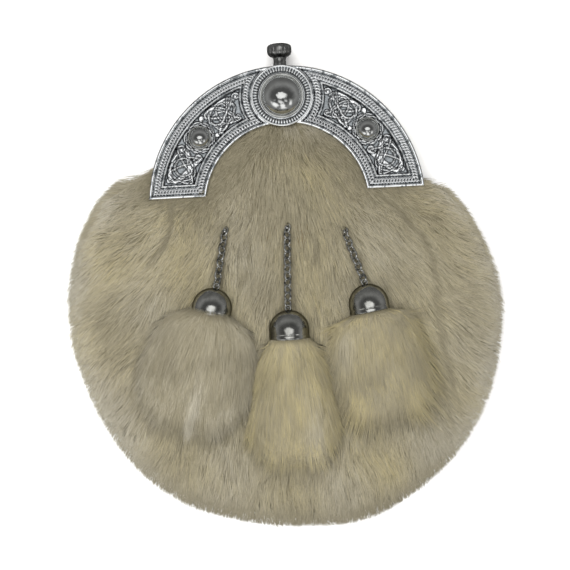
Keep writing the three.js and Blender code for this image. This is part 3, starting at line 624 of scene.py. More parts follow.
rng = np.random.default_rng(coatHair["seed"])
tryX = rng.uniform(coatHair["from"][0], coatHair["to"][0], coatHair["count"] * 3)
tryY = rng.uniform(coatHair["from"][1], coatHair["to"][1], coatHair["count"] * 3)
fanAngle = np.degrees(np.arctan2(tryY - coat["fanY"], tryX)) % 360
onCoat = (fanAngle > coat["fanFrom"]) & (fanAngle < coat["fanTo"])
onCoat &= underCantle(tryX, tryY) < coatHair["tuckUnder"]
onCoat &= np.hypot(tryX, tryY) < furReach(tryX, tryY) - coatHair["rimInset"]
rootX, rootY = tryX[onCoat][:coatHair["count"]], tryY[onCoat][:coatHair["count"]]
count = len(rootX)
print("coat roots:", count, "of", int(onCoat.sum()), "tried")

beside = besideCantle(rootX, rootY)
length = coatHair["length"] * rng.uniform(0.6, 1.25, count) * (0.55 + 0.45 * smoothStep(beside, 2, 28))
lockX, lockY, lockNumber = lockCentre(rootX, rootY, coatHair["lock"], 3)
wispX, wispY, wispNumber = lockCentre(rootX, rootY, coatHair["wisp"], 5)
lockLean, wispLean = lockNumber - 0.5, wispNumber - 0.5
sway = rng.normal(0, 0.08, count) + 0.16 * lockLean + 0.12 * wispLean
sway = sway + (rng.normal(0, 0.22, count) + 0.5 * lockLean) * smoothStep(-beside, -30, -6)
lieX, lieY = swayed(*lieOfHair(rootX, rootY), sway)
pullX = coatHair["lockPull"] * (lockX - rootX) + coatHair["wispPull"] * (wispX - rootX)
pullY = coatHair["lockPull"] * (lockY - rootY) + coatHair["wispPull"] * (wispY - rootY)
tipX, tipY = rootX + lieX * length + pullX, rootY + lieY * length + pullY
limit = furReach(tipX, tipY) + rng.uniform(*coatHair["fringe"], count)
tipX, tipY = trimEnds(*keptInside(tipX, tipY, lieX, lieY, length, limit, 0.75))
tipZ = partedHeight(tipX, tipY) + rng.uniform(-1.0, 0.6, count) + 0.6 * lockLean
tipRim = np.hypot(tipX, tipY) / furReach(tipX, tipY)
tipZ = tipZ - rng.uniform(0, 1, count) ** 2 * coatHair["rimDroop"] * smoothStep(tipRim, 0.94, 1.0)
corner = coatHair["cornerLock"]
fromCorner = (tipX - corner["x"]) ** 2 + (tipY - corner["y"]) ** 2
tipZ = tipZ + corner["rise"] * np.exp(-fromCorner / corner["wide"] ** 2)
tipZ = np.minimum(tipZ, endLimit(tipX, tipY) + 2.2)
midX, midY = (rootX + tipX) / 2, (rootY + tipY) / 2
midZ = partedHeight(midX, midY) - 0.8 + rng.uniform(-0.5, 0.5, count)
midZ = np.minimum(midZ, endLimit(midX, midY) + 1.6)
rootZ = np.minimum(hideHeight(rootX, rootY), partedHeight(rootX, rootY) - 2.0)
rootZ = np.minimum(rootZ, endLimit(rootX, rootY) - 0.3)
rootZ = np.where(underCantle(rootX, rootY) > 0, coatHair["underZ"], rootZ)
# the tone: mottled by lock and wisp; painted shade beside the cantle (more so in the arch), along the
# partings and under and beside the chains and tassels; painted light round the rim, turning to painted shade
# along the lower side
rimShare = np.hypot(rootX, rootY) / furReach(rootX, rootY)
calmRim = smoothStep(rimShare, 0.72, 0.9)
# painted light: hair round the rim is paler, as a lit fringe; the same share also turns it greyer
rimLightAndGrey = smoothStep(rimShare, 0.76, 0.96)
# painted shade: along the lower side the rim turns darker instead of paler
shadedLowSide = smoothStep(-rootY, 50, 95)
nearX, nearY = rootX + 5 * lieX, rootY + 5 * lieY
coatTone = (0.47 + 0.13 * ripple(rootX, rootY, 42, 21)
            + (0.26 * lockLean + 0.26 * wispLean) * (1 - 0.45 * calmRim)
            - (0.12 + 0.42 * smoothStep(rootY, 48, 64)) * smoothStep(-beside, -24, -4)
            - 0.9 * parting(0.2 * rootX + 0.8 * tipX, 0.2 * rootY + 0.8 * tipY)
            + 0.55 * rimLightAndGrey * (1 - 1.7 * shadedLowSide) + tonePatch(rootX, rootY)
            - 1.1 * chainShade(nearX, nearY) - 0.38 * tasselShade(nearX, nearY)
            + rng.normal(0, 0.2, count) * (1 - 0.6 * calmRim))
coatWarm = (0.42 + 0.2 * ripple(rootX, rootY, 55, 31) + 0.1 * lockLean + rng.normal(0, 0.1, count)
            - 0.38 * rimLightAndGrey)
root = pointsAt(rootX, rootY, rootZ)
middle = pointsAt(midX, midY, midZ)
tip = pointsAt(tipX, tipY, np.maximum(tipZ, 1.0))
half = coatHair["half"] * rng.uniform(0.7, 1.3, count)
facing = unit(furFacing(midX, midY) + np.array([0, 0, 1.0]) * smoothStep(tipRim, 0.86, 1.0)[:, None])
for k in range(coatHair["pieces"]):
    part = slice(k, None, coatHair["pieces"])
    strandPiece(f"fur_coat_hair_{k + 1}", root[part], middle[part], tip[part], half[part],
                coatTone[part], coatWarm[part], facing[part], "coat_fur", ["fur_coat"], 0.0, 0.8)


# Skirt of the coat: hair on the rim's side and under its hem, lying outwards and down.
# tuck goes from 0 on the rim's shoulder to 1 under the hem, where roots stand further in and lower.
skirt = {"count": 15500, "ends": 4200, "seed": 17, "length": 13.5, "endLength": 9.0, "endDegrees": 7.5,
         "half": 0.12, "tuckAt": [0, 0.3, 0.7, 1], "share": [0.935, 0.96, 0.95, 0.925],
         "height": [13.0, 9.6, 4.6, 3.0], "fringe": (-3.2, 1.4), "corner": 0.25, "cornerZ": 3.0,
         "underZ": 15.6}
rng = np.random.default_rng(skirt["seed"])
count = skirt["count"]
fan = np.radians(rng.uniform(coat["fanFrom"] + 0.5, coat["fanTo"] - 0.5, count))
tuck = rng.uniform(0, 1, count)
outX, outY = np.cos(fan), np.sin(fan)
rootAt = rimDistance(fan) * np.interp(tuck, skirt["tuckAt"], skirt["share"])
rootX, rootY = rootAt * outX, coat["fanY"] + rootAt * outY
rootZ = np.interp(tuck, skirt["tuckAt"], skirt["height"])
lockLean = lockCentre(np.degrees(fan) * 2.2, tuck * 9, 6.0, 9)[2] - 0.5
lieX, lieY = swayed(*lieOfHair(rootX, rootY), rng.normal(0, 0.2, count) + 0.7 * lockLean)
length = skirt["length"] * rng.uniform(0.6, 1.2, count)
tipX, tipY = rootX + lieX * length, rootY + lieY * length
limit = furReach(tipX, tipY) + rng.uniform(*skirt["fringe"], count) - 1.8 * tuck
tipX, tipY = keptInside(tipX, tipY, lieX, lieY, length, limit, 0.8)
tipZ = np.maximum(rootZ - length * (0.35 - 0.05 * tuck) + rng.uniform(-2.4, 1.6, count), 0.5)
root = pointsAt(rootX, rootY, rootZ)
tip = pointsAt(tipX, tipY, tipZ)
middle = (root + tip) / 2 + pointsAt(lieX * 0.5, lieY * 0.5, 0.9)
# tone: pale as painted light on the rim, darker towards the bottom as painted shade on the lower side,
# mottled by lock and at random
skirtTone = 0.85 - 0.6 * smoothStep(-rootY, 50, 95) + 0.25 * lockLean + rng.normal(0, 0.1, count)
skirtWarm = 0.16 + 0.2 * ripple(rootX, rootY, 55, 31) + rng.normal(0, 0.1, count)
facing = unit(pointsAt(outX, outY, 2.4 - 1.9 * tuck))
half = skirt["half"] * rng.uniform(0.7, 1.3, count)

# at both ends beside the cantle the hair turns out over the cut edge of the hide
count = skirt["ends"]
side = np.where(rng.uniform(0, 1, count) < 0.5, 1, -1)  # 1 at the fan's start, on the left
inward = rng.uniform(0, 1, count)
endShare = rng.uniform(0.52, 0.965, count)
onCorner = rng.uniform(0, 1, count) < skirt["corner"]  # these stand on the edge's lower outer corner
inward = np.where(onCorner, 0.12 * inward, inward)
endShare = np.where(onCorner, 0.84 + 0.28 * (endShare - 0.52), endShare)
endFan = np.radians(np.where(side > 0, coat["fanFrom"], coat["fanTo"]) + side * skirt["endDegrees"] * inward)
lieX, lieY = np.cos(endFan), np.sin(endFan)
endAt = rimDistance(endFan) * endShare
endX, endY = endAt * lieX, coat["fanY"] + endAt * lieY
endZ = np.minimum(hideHeight(endX, endY), endLimit(endX, endY)) + 0.2
endZ = np.where(underCantle(endX, endY) > 0, np.minimum(endZ, skirt["underZ"]), endZ)
endZ = np.where(onCorner, skirt["cornerZ"] + (endZ - skirt["cornerZ"]) * rng.uniform(0, 0.9, count), endZ)
endLength = skirt["endLength"] * rng.uniform(0.6, 1.25, count)
turnOut = rng.normal(0.34, 0.14, count) * (1 - 0.6 * inward)
turnOut = turnOut * (0.3 + 1.5 * smoothStep(besideCantle(endX, endY), 0, 9)) + 0.4 * onCorner
tipX = endX + endLength * (lieX + side * turnOut * lieY)
tipY = endY + endLength * (lieY - side * turnOut * lieX)
tipZ = np.maximum(endZ - endLength * rng.uniform(0.1, 0.55, count) * (1 - 0.7 * inward), 2.0)
limit = furReach(tipX, tipY) - rng.uniform(0, 2, count)
shrink = np.minimum(limit / np.hypot(tipX, tipY), 1)
endTip = pointsAt(*trimEnds(tipX * shrink, tipY * shrink), tipZ)
endRoot = pointsAt(endX, endY, endZ)
endMiddle = (endRoot + endTip) / 2 + [0, 0, 0.7]
endFacing = unit(pointsAt(side * lieY, -side * lieX, 1.2 + 1.3 * inward))
# tone: pale as painted light at the rim's ends, mottled in 9 mm ripples and at random
endTone = 0.72 + 0.3 * ripple(endX, endY, 9, 41) + rng.normal(0, 0.15, count)
endHalf = skirt["half"] * rng.uniform(0.7, 1.3, count)
endWarm = 0.25 + rng.normal(0, 0.1, count)
skirtAndEnds = [(root, endRoot), (middle, endMiddle), (tip, endTip), (half, endHalf),
                (skirtTone, endTone), (skirtWarm, endWarm), (facing, endFacing)]
strandPiece("fur_coat_skirt", *(np.concatenate(pair) for pair in skirtAndEnds),
            "coat_fur", ["fur_coat"], 0.2, 0.5)


# Tassels: a core under the hair, and hair that springs from the bell and falls along the form
tasselHair = {"count": 10600, "seed": 40, "length": 21.0, "half": 0.14, "sink": 6.0, "lock": 6.0, "wisp": 2.2,
              "hugR": 9.85, "hugSquare": 97}  # reach round the bell's lip, and about its square
core = {"rows": 40, "columns": 48, "end": 0.96, "neckR": 6.4, "neckY": -8.0}
mouthY = -bell["height"] - bell["gap"]


def tuftPoint(tassel, share, lie, over, scale):
    # lie is the place across at the widest part, from -1 to 1; hair below that part falls straight down.
    # The section is a loaf: round on top up to the bell's size and flatter past it, its edges and tip
    # on the coat.
    reach = np.maximum(tuftReach(tassel, share), 0.4)
    across = lie * tuftReach(tassel, np.minimum(share, tassel["peak"]))
    arch = np.sqrt(np.maximum(1 - (across / reach) ** 2, 0))
    closing = np.clip((share - tassel["peak"]) / (1 - tassel["peak"]), 0, 1)
    sink = tasselHair["sink"] * np.clip(share / 0.25, 0, 1)
    depth = np.minimum(reach, bell["radius"]) + 0.42 * np.maximum(reach - bell["radius"], 0)
    above = (depth + sink) * arch * np.sqrt(np.maximum(1 - closing**3, 0)) - sink
    below = -np.minimum(reach, bell["radius"]) * arch * (1 - 0.4 * closing) - 0.5
    rise = np.where(over, above * scale, np.minimum(below, above - 0.3))
    return pointsAt(across * scale, mouthY - share * (tassel["length"] + mouthY), rise)


for index, (name, tassel) in enumerate(tassels.items()):
    origin, turn = tasselPlace(tassel)
    fall = tassel["length"] + mouthY
    rows, columns = core["rows"], core["columns"]
    angle = np.tile(circle(columns), (rows, 1))
    share = np.repeat(np.linspace(0.0, core["end"], rows)[:, None], columns, 1)
    ratio = tuftReach(tassel, share) / tuftReach(tassel, np.minimum(share, tassel["peak"]))
    form = tuftPoint(tassel, share, 0.93 * ratio * np.cos(angle), np.sin(angle) > -0.01, 0.94)
    neck = pointsAt(core["neckR"] * np.cos(angle[0]), core["neckY"], core["neckR"] * np.sin(angle[0]))
    grid = np.concatenate([neck[None], form]).reshape(-1, 3)
    ends = [np.arange(columns)[None], (np.arange(columns) + rows * columns)[None, ::-1]]
    coreFaces = [gridFaces(rows + 1, columns, False, True), *ends]
    makePiece(f"tassel_core_{name}", origin + grid @ turn.T, coreFaces,
              underfur, [f"tassel_fur_{name}"])

    rng = np.random.default_rng(tasselHair["seed"] + index)
    count = tasselHair["count"]
    tipShare = 0.06 + 0.95 * rng.uniform(0, 1, count) ** 0.85
    over = rng.uniform(0, 1, count) < 0.8
    upward = np.where(over, 1, -1)
    place = np.sin(rng.uniform(-0.5, 0.5, count) * np.pi)
    formShare = np.minimum(tipShare, 0.97)
    lie = place * tuftReach(tassel, formShare) / tuftReach(tassel, np.minimum(tipShare, tassel["peak"]))
    step = tasselHair["length"] / fall * rng.uniform(0.65, 1.25, count)
    share = np.maximum(tipShare - step, -tassel["overBell"] / fall * rng.uniform(0, 1, count))
    gridX, gridY = lie * tassel["width"] / 2, tipShare * fall
    lockX, _, lockNumber = lockCentre(gridX, gridY, tasselHair["lock"], 50 + index)
    wispX, _, wispNumber = lockCentre(gridX, gridY, tasselHair["wisp"], 60 + index)
    drift = 0.1 * (lockX - gridX) + 0.18 * (wispX - gridX) + rng.normal(0, 0.6, count)
    drift = drift + 1.4 * ripple(gridX, gridY, 24, 70 + index)
    paleX, paleAt, paleWide, paleLong, paleTone = tassel["pale"]
    pale = np.exp(-((gridX - paleX) / paleWide) ** 2 - ((tipShare - paleAt) / paleLong) ** 2)
    drift = drift - tassel["draw"] * pale * (gridX - paleX)
    edge = np.maximum(np.abs(place) ** 5, smoothStep(tipShare, 0.75, 1.0))
    stray = tassel["fray"] * edge * np.minimum(rng.exponential(1, count), 2.6)
    outX = np.sign(place) * np.abs(place) ** 3
    outY = 0.3 - 1.1 * smoothStep(tipShare, 0.05, 0.5)
    # roots near the mouth hug the bell's lip
    root = tuftPoint(tassel, np.maximum(share, 0), lie, over, 0.93)
    root[:, 1] = mouthY - share * fall
    onLip = np.clip(1 - share * fall / 2, 0, 1)[:, None]
    hugX = tasselHair["hugR"] * np.clip(lie, -1, 1)
    hugZ = np.sqrt(np.maximum(tasselHair["hugSquare"] - hugX**2, 0)) * upward
    root = root + (pointsAt(hugX, root[:, 1], hugZ) - root) * onLip
    middle = tuftPoint(tassel, np.maximum((share + tipShare) / 2, 0.02), lie, over, 0.985)
    tip = tuftPoint(tassel, formShare, lie, over, rng.uniform(0.97, 1.03, count))
    tip[:, 0] += drift + outX * stray
    tip[:, 1] = mouthY - tipShare * fall + outY * stray - 5 * tassel["draw"] * pale
    tip[:, 1] += rng.normal(0, 0.7, count)
    tip[:, 2] -= 0.25 * stray
    middle[:, 0] += 0.5 * drift
    tone = tassel["tone"] + 0.3 * (lockNumber - 0.5) + 0.2 * (wispNumber - 0.5) + rng.normal(0, 0.12, count)
    # paler in the pale wisp, and paler towards the side edges as painted light
    tone = tone + paleTone * pale + 0.22 * np.abs(place) ** 4
    warm = tassel["warm"] + 0.25 * (lockNumber - 0.5) + rng.normal(0, 0.08, count) - 0.7 * pale
    strands = origin + np.stack([root, middle, tip]) @ turn.T
    strands[2, :, 2] = np.maximum(strands[2, :, 2], 1.0)
    facing = unit(pointsAt(0.2 * place, -0.36 - 0.1 * tipShare**3, upward * np.sqrt(1.6 - place**2))) @ turn.T
    half = tasselHair["half"] * rng.uniform(0.7, 1.3, count)
    strandPiece(f"tassel_hair_{name}", *strands, half, tone, warm, facing,
                "tassel_fur", [f"tassel_fur_{name}"], 0.2, 0.7)


# Metals

def metalMaterial(name, colour, dark, rough, grain, rim="ffffff"):
    # a polished or worn metal: colour and roughness wander together in patches of wear, grain mm wide,
    # and rim is its glancing tint
    material, shader = startMaterial(name, {"Metallic": 1.0, "Specular Tint": linear(rim)})
    wear = noise(material, grain, 5.0)
    feed(material, shader, {"Base Color": colourRamp(material, wear, [(0.3, dark), (0.6, colour)]),
                            "Roughness": mapped(material, wear, (0.3, 0.75), rough[::-1])})
    return material


# Chrome plate on a polished casting: near mirror, pale grey, with a little haze in 6 mm patches
domeChrome = metalMaterial("polished chrome", "cacbc9", "b3b4b1", (0.05, 0.13), 6.0, "8a8a84")
# Chrome on the spun bells: darker and a little hazier, in 4 mm patches; its darker plate and dark olive
# glancing tint are painted reflection of the shaded fur round the bells
bellChrome = metalMaterial("spun bell chrome", "bbbbb6", "9b9b95", (0.1, 0.2), 4.0, "4a473b")
# Nickelled steel wire, worn to dark grey in small places, with a dark glancing tint as painted shade on the
# links' rounded sides
chainSteel = metalMaterial("nickelled wire", "e4e4df", "3c3c39", (0.05, 0.2), 1.8, "6a6a62")
# Blued, handled steel of the clasp: dark grey with a soft shine
claspSteel = metalMaterial("blued steel", "a6a6a4", "6d6d6b", (0.16, 0.36), 2.0)


def reliefMaterial(name):
    # die-cast and chromed, then wiped with black: crests shine, hollows stay dull and dark
    material, shader = startMaterial(name, {"Metallic": 1.0})
    height = maths(material, "MULTIPLY_ADD", noise(material, 1.2, 4.0), 0.5, readValues(material, "relief"))
    tint = colourRamp(material, height, [(0.3, "121415"), (0.7, "9ba0a3"), (1.0, "fafcfd")])
    polish = mapped(material, height, (0.2, 0.8), (0.34, 0.09))
    feed(material, shader, {"Base Color": tint, "Roughness": polish})
    return material


castChrome = reliefMaterial("cast chrome with blacked hollows")

# Cantle: a half ring as a height over its plan, with rim, braided band, line and knotwork panels
plate = {"across": 94, "around": 530, "rim": 1.6, "rimWidth": 1.6, "bandEnd": 5.7, "lineEnd": 6.8,
         "grooves": (1.68, 5.62, 6.95), "bossY": 103, "bossR": 15.35, "bossLap": 0.8,
         "studAngle": 40, "knotR": 54.8,
         "bandReach": (67, 43, 18)}  # how far out the band runs: outer edge, inner edge, round the boss
acrossShare = np.linspace(0, 1, plate["across"] + 1)[:, None]
aroundShare = np.linspace(0, 1, plate["around"] + 1)[None]
radius = cantle["inner"] + (cantle["outer"] - cantle["inner"]) * acrossShare
endAngle = np.arcsin((cantle["end"] - cantle["y"]) / radius)
sweep = endAngle + aroundShare * (np.pi - 2 * endAngle)
plateX = radius * np.cos(sweep)
plateY = cantle["y"] + radius * np.sin(sweep)
radius = np.broadcast_to(radius, sweep.shape)


def hump(distance, half, power=2.0):
    # rounded ridge: 1 at its middle and 0 at its half width
    return np.maximum(1 - np.abs(distance / half) ** power, 0) ** (1 / power)


def braid(along, across, wave, swing, half):
    # two strands that swing against each other and pass over and under in turn
    phase = 2 * np.pi * along / wave
    lean = 1 / np.sqrt(1 + (swing * 2 * np.pi / wave * np.cos(phase)) ** 2)
    rise, aside = 0.18 * np.cos(phase), swing * np.sin(phase)
    one = (0.82 + rise) * hump((across - aside) * lean, half)
    two = (0.82 - rise) * hump((across + aside) * lean, half)
    return np.maximum(one, two)


def strandHeight(x, y, path, crest, half):
    # tallest of round ridges drawn along a path of points, each with its own crest, and the gap to its edge
    height = np.zeros(x.shape)
    gap = np.full(x.shape, 9.0)
    low, high = path.min(0), path.max(0)
    centre, reach = path.mean(0), (high - low) / 2 + 2
    near = np.nonzero((np.abs(x - centre[0]) < reach[0]) & (np.abs(y - centre[1]) < reach[1]))
    away = np.hypot(x[near][:, None] - path[:, 0], y[near][:, None] - path[:, 1])
    ridge = hump(away, half, 2.6) - 0.3 * np.exp(-(away / (0.28 * half)) ** 2)
    height[near] = np.max(np.where(away < half, ridge * crest, 0), 1)
    gap[near] = away.min(1) - half
    return height, gap


def panelPath(angle, along, across):
    # distance along the panel's middle arc from an angle, and distance across it
    turn = np.radians(angle) + along / plate["knotR"]
    reach = plate["knotR"] + across
    return np.stack([reach * np.cos(turn), cantle["y"] + reach * np.sin(turn)], -1)


# inset is the distance in from the nearest edge, run the distance along that edge
edgeGaps = np.stack([cantle["outer"] - radius, radius - cantle["inner"], plateY - cantle["end"],
                     np.hypot(plateX, plateY - plate["bossY"]) - plate["bossR"] + plate["bossLap"]])
inset = edgeGaps.min(0)
outerReach, innerReach, bossReach = plate["bandReach"]
runs = np.stack([outerReach * sweep, innerReach * sweep, plateX,
                 bossReach * np.arctan2(plateX, plateY - plate["bossY"])])
run = np.take_along_axis(runs, edgeGaps.argmin(0)[None], 0)[0]
bandMiddle = (plate["rimWidth"] + plate["bandEnd"]) / 2
lineMiddle = (plate["bandEnd"] + plate["lineEnd"]) / 2
onBand = (inset > plate["rimWidth"]) & (inset < plate["bandEnd"])
relief = plate["rim"] * hump(inset - plate["rimWidth"] / 2, 0.88, 3.0)
relief = np.maximum(relief, np.where(onBand, 0.1 + 1.1 * braid(run, inset - bandMiddle, 3.0, 1.05, 0.6), 0))
relief = np.maximum(relief, 1.5 * hump(inset - lineMiddle, 0.6, 2.4))

# Knotwork of one panel, each strand as a path, its crest along the path and its half width
t = circle(420)
curl = np.linspace(0.5, 3.2 * np.pi, 160)
# woven strands swing along and across: angle, size, turns and lead along, size and turns across,
# crest, its swing and lead, half width
weaves = [(22.4, 8.2, 3, 0.6, 6.4, 2, 1.1, 0.28, np.pi / 2, 0.72),
          (57.0, 7.2, 3, 0.3, 6.4, 2, 1.1, 0.28, np.pi / 2, 0.7),
          (22.2, 7.4, 2, 0.2, 6.3, 3, 0.95, 0.25, 0, 0.5), (56.8, 6.4, 2, 0.4, 6.2, 3, 0.95, 0.25, 0, 0.5)]
# scrolls in the corners: angle, shift of its pair, distance across, growth, crest, half width
scrolls = [(30.2, 0, 4.6, 0.24, 0.95, 0.6), (65.4, 2.0, 4.9, 0.2, 0.95, 0.5),
           (47.9, 0, 5.6, 0.12, 0.95, 0.5), (14.2, 0, 5.6, 0.09, 0.9, 0.5)]
knots = [(panelPath(22.4, 4.4 * np.cos(t), 4.4 * np.sin(t)), 1.05 + 0.28 * np.sin(8 * t), 0.55),  # a ring
         (panelPath(56.4, 2 * np.cos(t) - 4 * np.cos(2 * t), 2 * np.sin(t) + 4 * np.sin(2 * t)),
          1.05 + 0.28 * np.sin(3 * t), 0.55)]  # a trefoil
for angle, long, longTurns, lead, wide, wideTurns, crest, swing, crestLead, half in weaves:
    path = panelPath(angle, long * np.sin(longTurns * t + lead), wide * np.sin(wideTurns * t))
    knots.append((path, crest + swing * np.sin(5 * t + crestLead), half))
for sign in (-1, 1):
    petal = 6.9 + sign * 0.7 * np.sin(5 * t)  # two wavy rings that cross round the stud
    path = panelPath(plate["studAngle"], petal * np.cos(t), petal * np.sin(t))
    knots.append((path, 0.95 + sign * 0.2 * np.cos(5 * t), 0.55))
    for angle, shift, across, growth, crest, half in scrolls:
        path = panelPath(angle + shift * sign, growth * curl * np.cos(curl),
                         sign * (across + growth * curl * np.sin(curl)))
        knots.append((path, np.full(curl.shape, crest), half))
ground = np.zeros(relief.shape)
groove = np.min([np.abs(inset - line) for line in plate["grooves"]], axis=0) - 0.06
inPanel = inset > plate["lineEnd"] - 0.1
for path, crest, half in knots:
    ridge, gap = strandHeight(np.abs(plateX), plateY, path, crest, half)
    ground = np.maximum(ground, ridge)
    groove = np.where(inPanel, np.minimum(groove, np.abs(gap - 0.1) - 0.06), groove)
relief = np.where(inPanel, np.maximum(relief, ground), relief)

# how bright the chrome is: crests shine and grooves stay black; rims and lines darker in wandering patches
# are painted reflection of the dark room in the polished metal
inBand = (inset > plate["rimWidth"] + 0.1) & (inset < plate["bandEnd"] - 0.1)
mirroredPatches = ripple(plateX, plateY, 6, 91) + 0.5 * ripple(plateX, plateY, 2, 93)
shine = np.where(inPanel, 0.36 + 0.6 * ground, 1.0 - 0.5 * smoothStep(mirroredPatches, 0.0, 0.8))
shine = np.where(inBand, 0.95 * smoothStep(relief, 0.15, 0.85), shine)
shine = shine * (0.06 + 0.94 * smoothStep(groove, -0.02, 0.15))
plateZ = cantle["field"] - 0.25 + relief - 0.2 * (1 - smoothStep(groove, 0.0, 0.2))

plateRows, plateColumns = plateX.shape
top = pointsAt(plateX, plateY, plateZ).reshape(-1, 3)
back = pointsAt(plateX[[0, -1]], plateY[[0, -1]], cantle["back"]).reshape(-1, 3)
innerTop = np.arange(plateColumns)
outerTop = innerTop + (plateRows - 1) * plateColumns
innerBack = innerTop + plateRows * plateColumns
outerBack = innerBack + plateColumns
strips = [np.stack([a[:-1], a[1:], b[1:], b[:-1]], -1)
          for a, b in ((innerBack, innerTop), (outerTop, outerBack), (outerBack, innerBack))]
column = np.arange(plateRows) * plateColumns
startEnd = np.concatenate([column, [outerBack[0], innerBack[0]]])[None]
stopEnd = np.concatenate([column + plateColumns - 1, [outerBack[-1], innerBack[-1]]])[None, ::-1]
cantlePiece = makePiece("cantle_half_ring", np.vstack([top, back]),
                        [gridFaces(plateRows, plateColumns)[:, ::-1], *strips, startEnd, stopEnd],
                        castChrome, ["cantle"])
addValues(cantlePiece, "relief", np.concatenate([shine.ravel(), np.full(2 * plateColumns, 0.6)]))

# Boss: plain rim, ring of fine reeds and the seat of the dome, as rows of radius, height and share of
# the reeds
bossRing = {"reeds": 60, "segments": 480, "seat": 21.25, "depth": 0.42}
bossRows = np.array([
    (15.35, -4.9, 0), (15.35, 0.5, 0), (15.3, 0.85, 0), (15.1, 1.05, 0), (14.75, 1.1, 0), (14.4, 0.95, 0),
    (14.2, 0.5, 0), (14.05, 0.15, 0), (13.9, 0.2, 0.3), (13.6, 0.62, 1), (13.2, 0.8, 1), (12.8, 0.8, 1),
    (12.4, 0.62, 1), (12.05, 0.2, 0.3), (11.85, 0.05, 0), (11.6, 0.35, 0), (11.2, 0.3, 0), (6.0, 0.0, 0)])
bossHeight = bossRows[:, 1:2]
bossProfile = np.vstack([[0, bossHeight[0, 0]], bossRows[:, :2], [0, 0]])
bossPoints, bossFaces = turned(bossProfile, bossRing["segments"])
reedStep = np.tile([1.0, 0.55, 0.1, 0, 0, 0, 0.1, 0.55], bossRing["reeds"])  # one groove in eight segments
reed = np.outer(bossRows[:, 2], -bossRing["depth"] * reedStep)
bossPoints[:reed.size, 2] += reed.ravel()
bossPiece = makePiece("cantle_boss", bossPoints + [0, plate["bossY"], bossRing["seat"]], bossFaces,
                      castChrome, ["cantle"])
bossShine = np.clip(np.clip(0.2 + bossHeight / 0.8, 0, 1) + 2.6 * reed, 0, 1)
addValues(bossPiece, "relief", np.concatenate([bossShine.ravel(), [0.6, 0.6]]))


# Dome and studs: a ball cap on a rounded foot ring
dome = {"radius": 10, "height": 6.2, "rim": 11.2, "foot": 0.7, "z": 21.6, "segments": 96}
stud = {"radius": 5.3, "height": 4.2, "rim": 5.9, "foot": 0.7, "z": 19.9, "segments": 48}


def cappedPiece(name, cap, x, y, node):
    # the ball's radius follows from the cap's radius and rise; the foot ring is a flattened round
    rise = cap["height"] - cap["foot"]
    ball = (cap["radius"] ** 2 + rise**2) / (2 * rise)
    angle = np.linspace(np.arcsin(cap["radius"] / ball), 0, 26)
    crown = np.stack([ball * np.sin(angle), ball * np.cos(angle) - ball + cap["height"]], -1)
    crown[-1, 0] = 0
    turn = np.linspace(-0.2, np.pi * 0.9, 9)
    ringR = (cap["rim"] - cap["radius"]) / 2
    ring = np.stack([cap["rim"] - ringR + ringR * np.cos(turn), cap["foot"] - 0.15 + 0.45 * np.sin(turn)], -1)
    points, faces = turned(np.vstack([[0, 0], [cap["rim"], 0], ring, crown]), cap["segments"])
    makePiece(name, points + [x, y, cap["z"]], faces, domeChrome, [node])


cappedPiece("centre_dome_polished", dome, 0, plate["bossY"], "centre_dome")
studX = plate["knotR"] * np.cos(np.radians(plate["studAngle"]))
studY = cantle["y"] + plate["knotR"] * np.sin(np.radians(plate["studAngle"]))
for side, sign in (("left", -1), ("right", 1)):
    cappedPiece(f"stud_{side}_polished", stud, sign * studX, studY, f"stud_{side}")


# Clasp knob: a plunger, a waisted stem and a mushroom head with eight worn flats, turned round +Y
knob = {"axisZ": 12.5, "flats": 8, "flat": 0.08, "headFrom": (123.4, 125), "headTo": (127.5, 130)}
knobProfile = [
    [0, 100.5], [1.4, 100.5], [1.7, 100.8], [1.7, 116], [3.1, 116], [3.4, 116.3], [3.4, 118.5], [3.2, 120.5],
    [3.1, 122.0], [3.2, 123.0], [3.8, 123.6], [4.8, 124.1], [5.7, 124.9], [6.1, 125.6], [6.3, 126.4],
    [6.3, 128.2], [6.2, 128.7], [5.9, 129.3], [5.4, 129.7], [4.6, 130.05], [3.4, 130.3], [2.2, 130.42],
    [1.0, 130.48], [0, 130.5]]
knobPoints, knobFaces = turned(knobProfile, 64)
knobAngle = np.arctan2(knobPoints[:, 1], knobPoints[:, 0])
headShare = smoothStep(knobPoints[:, 2], *knob["headFrom"])
headShare = headShare * (1 - smoothStep(knobPoints[:, 2], *knob["headTo"]))
knobPoints[:, :2] *= (1 - knob["flat"] * headShare * np.cos(knob["flats"] * knobAngle) ** 2)[:, None]
knobPoints = pointsAt(knobPoints[:, 0], knobPoints[:, 2], knob["axisZ"] - knobPoints[:, 1])
makePiece("clasp_knob_turned", knobPoints, knobFaces, claspSteel, ["clasp_knob"], "knob")
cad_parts["clasp_block"].data.materials.clear()
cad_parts["clasp_block"].data.materials.append(claspSteel)


# Bells: a dome that runs on into a short straight skirt, with a rolled lip, open below, and a wire eye
bellLip = [[9.7, -11.2], [9.66, -11.5], [9.55, -11.7], [9.66, -11.9], [9.72, -12.2],
           [9.72, -13.4], [9.6, -13.85], [9.3, -14.0], [8.9, -13.8], [8.7, -13.2]]
bellTurn = np.linspace(0, np.pi / 2, 22)[1:]
quarter = np.stack([np.sin(bellTurn), np.cos(bellTurn) - 1], -1)
innerR = bell["radius"] - bell["wall"]
inner = (innerR * quarter - [0, bell["wall"]])[::-1]
bellProfile = np.vstack([[0, 0], bell["radius"] * quarter, bellLip, inner, [0, -bell["wall"]]])
cup, cupFaces = turned(bellProfile, 60)
cup = pointsAt(cup[:, 0], cup[:, 2], -cup[:, 1])
eyeTurn = circle(28)[:, None]
wireTurn = circle(10)[None]
eyeReach = bell["eyeR"] - bell["eyeWire"] + bell["eyeWire"] * np.cos(wireTurn)
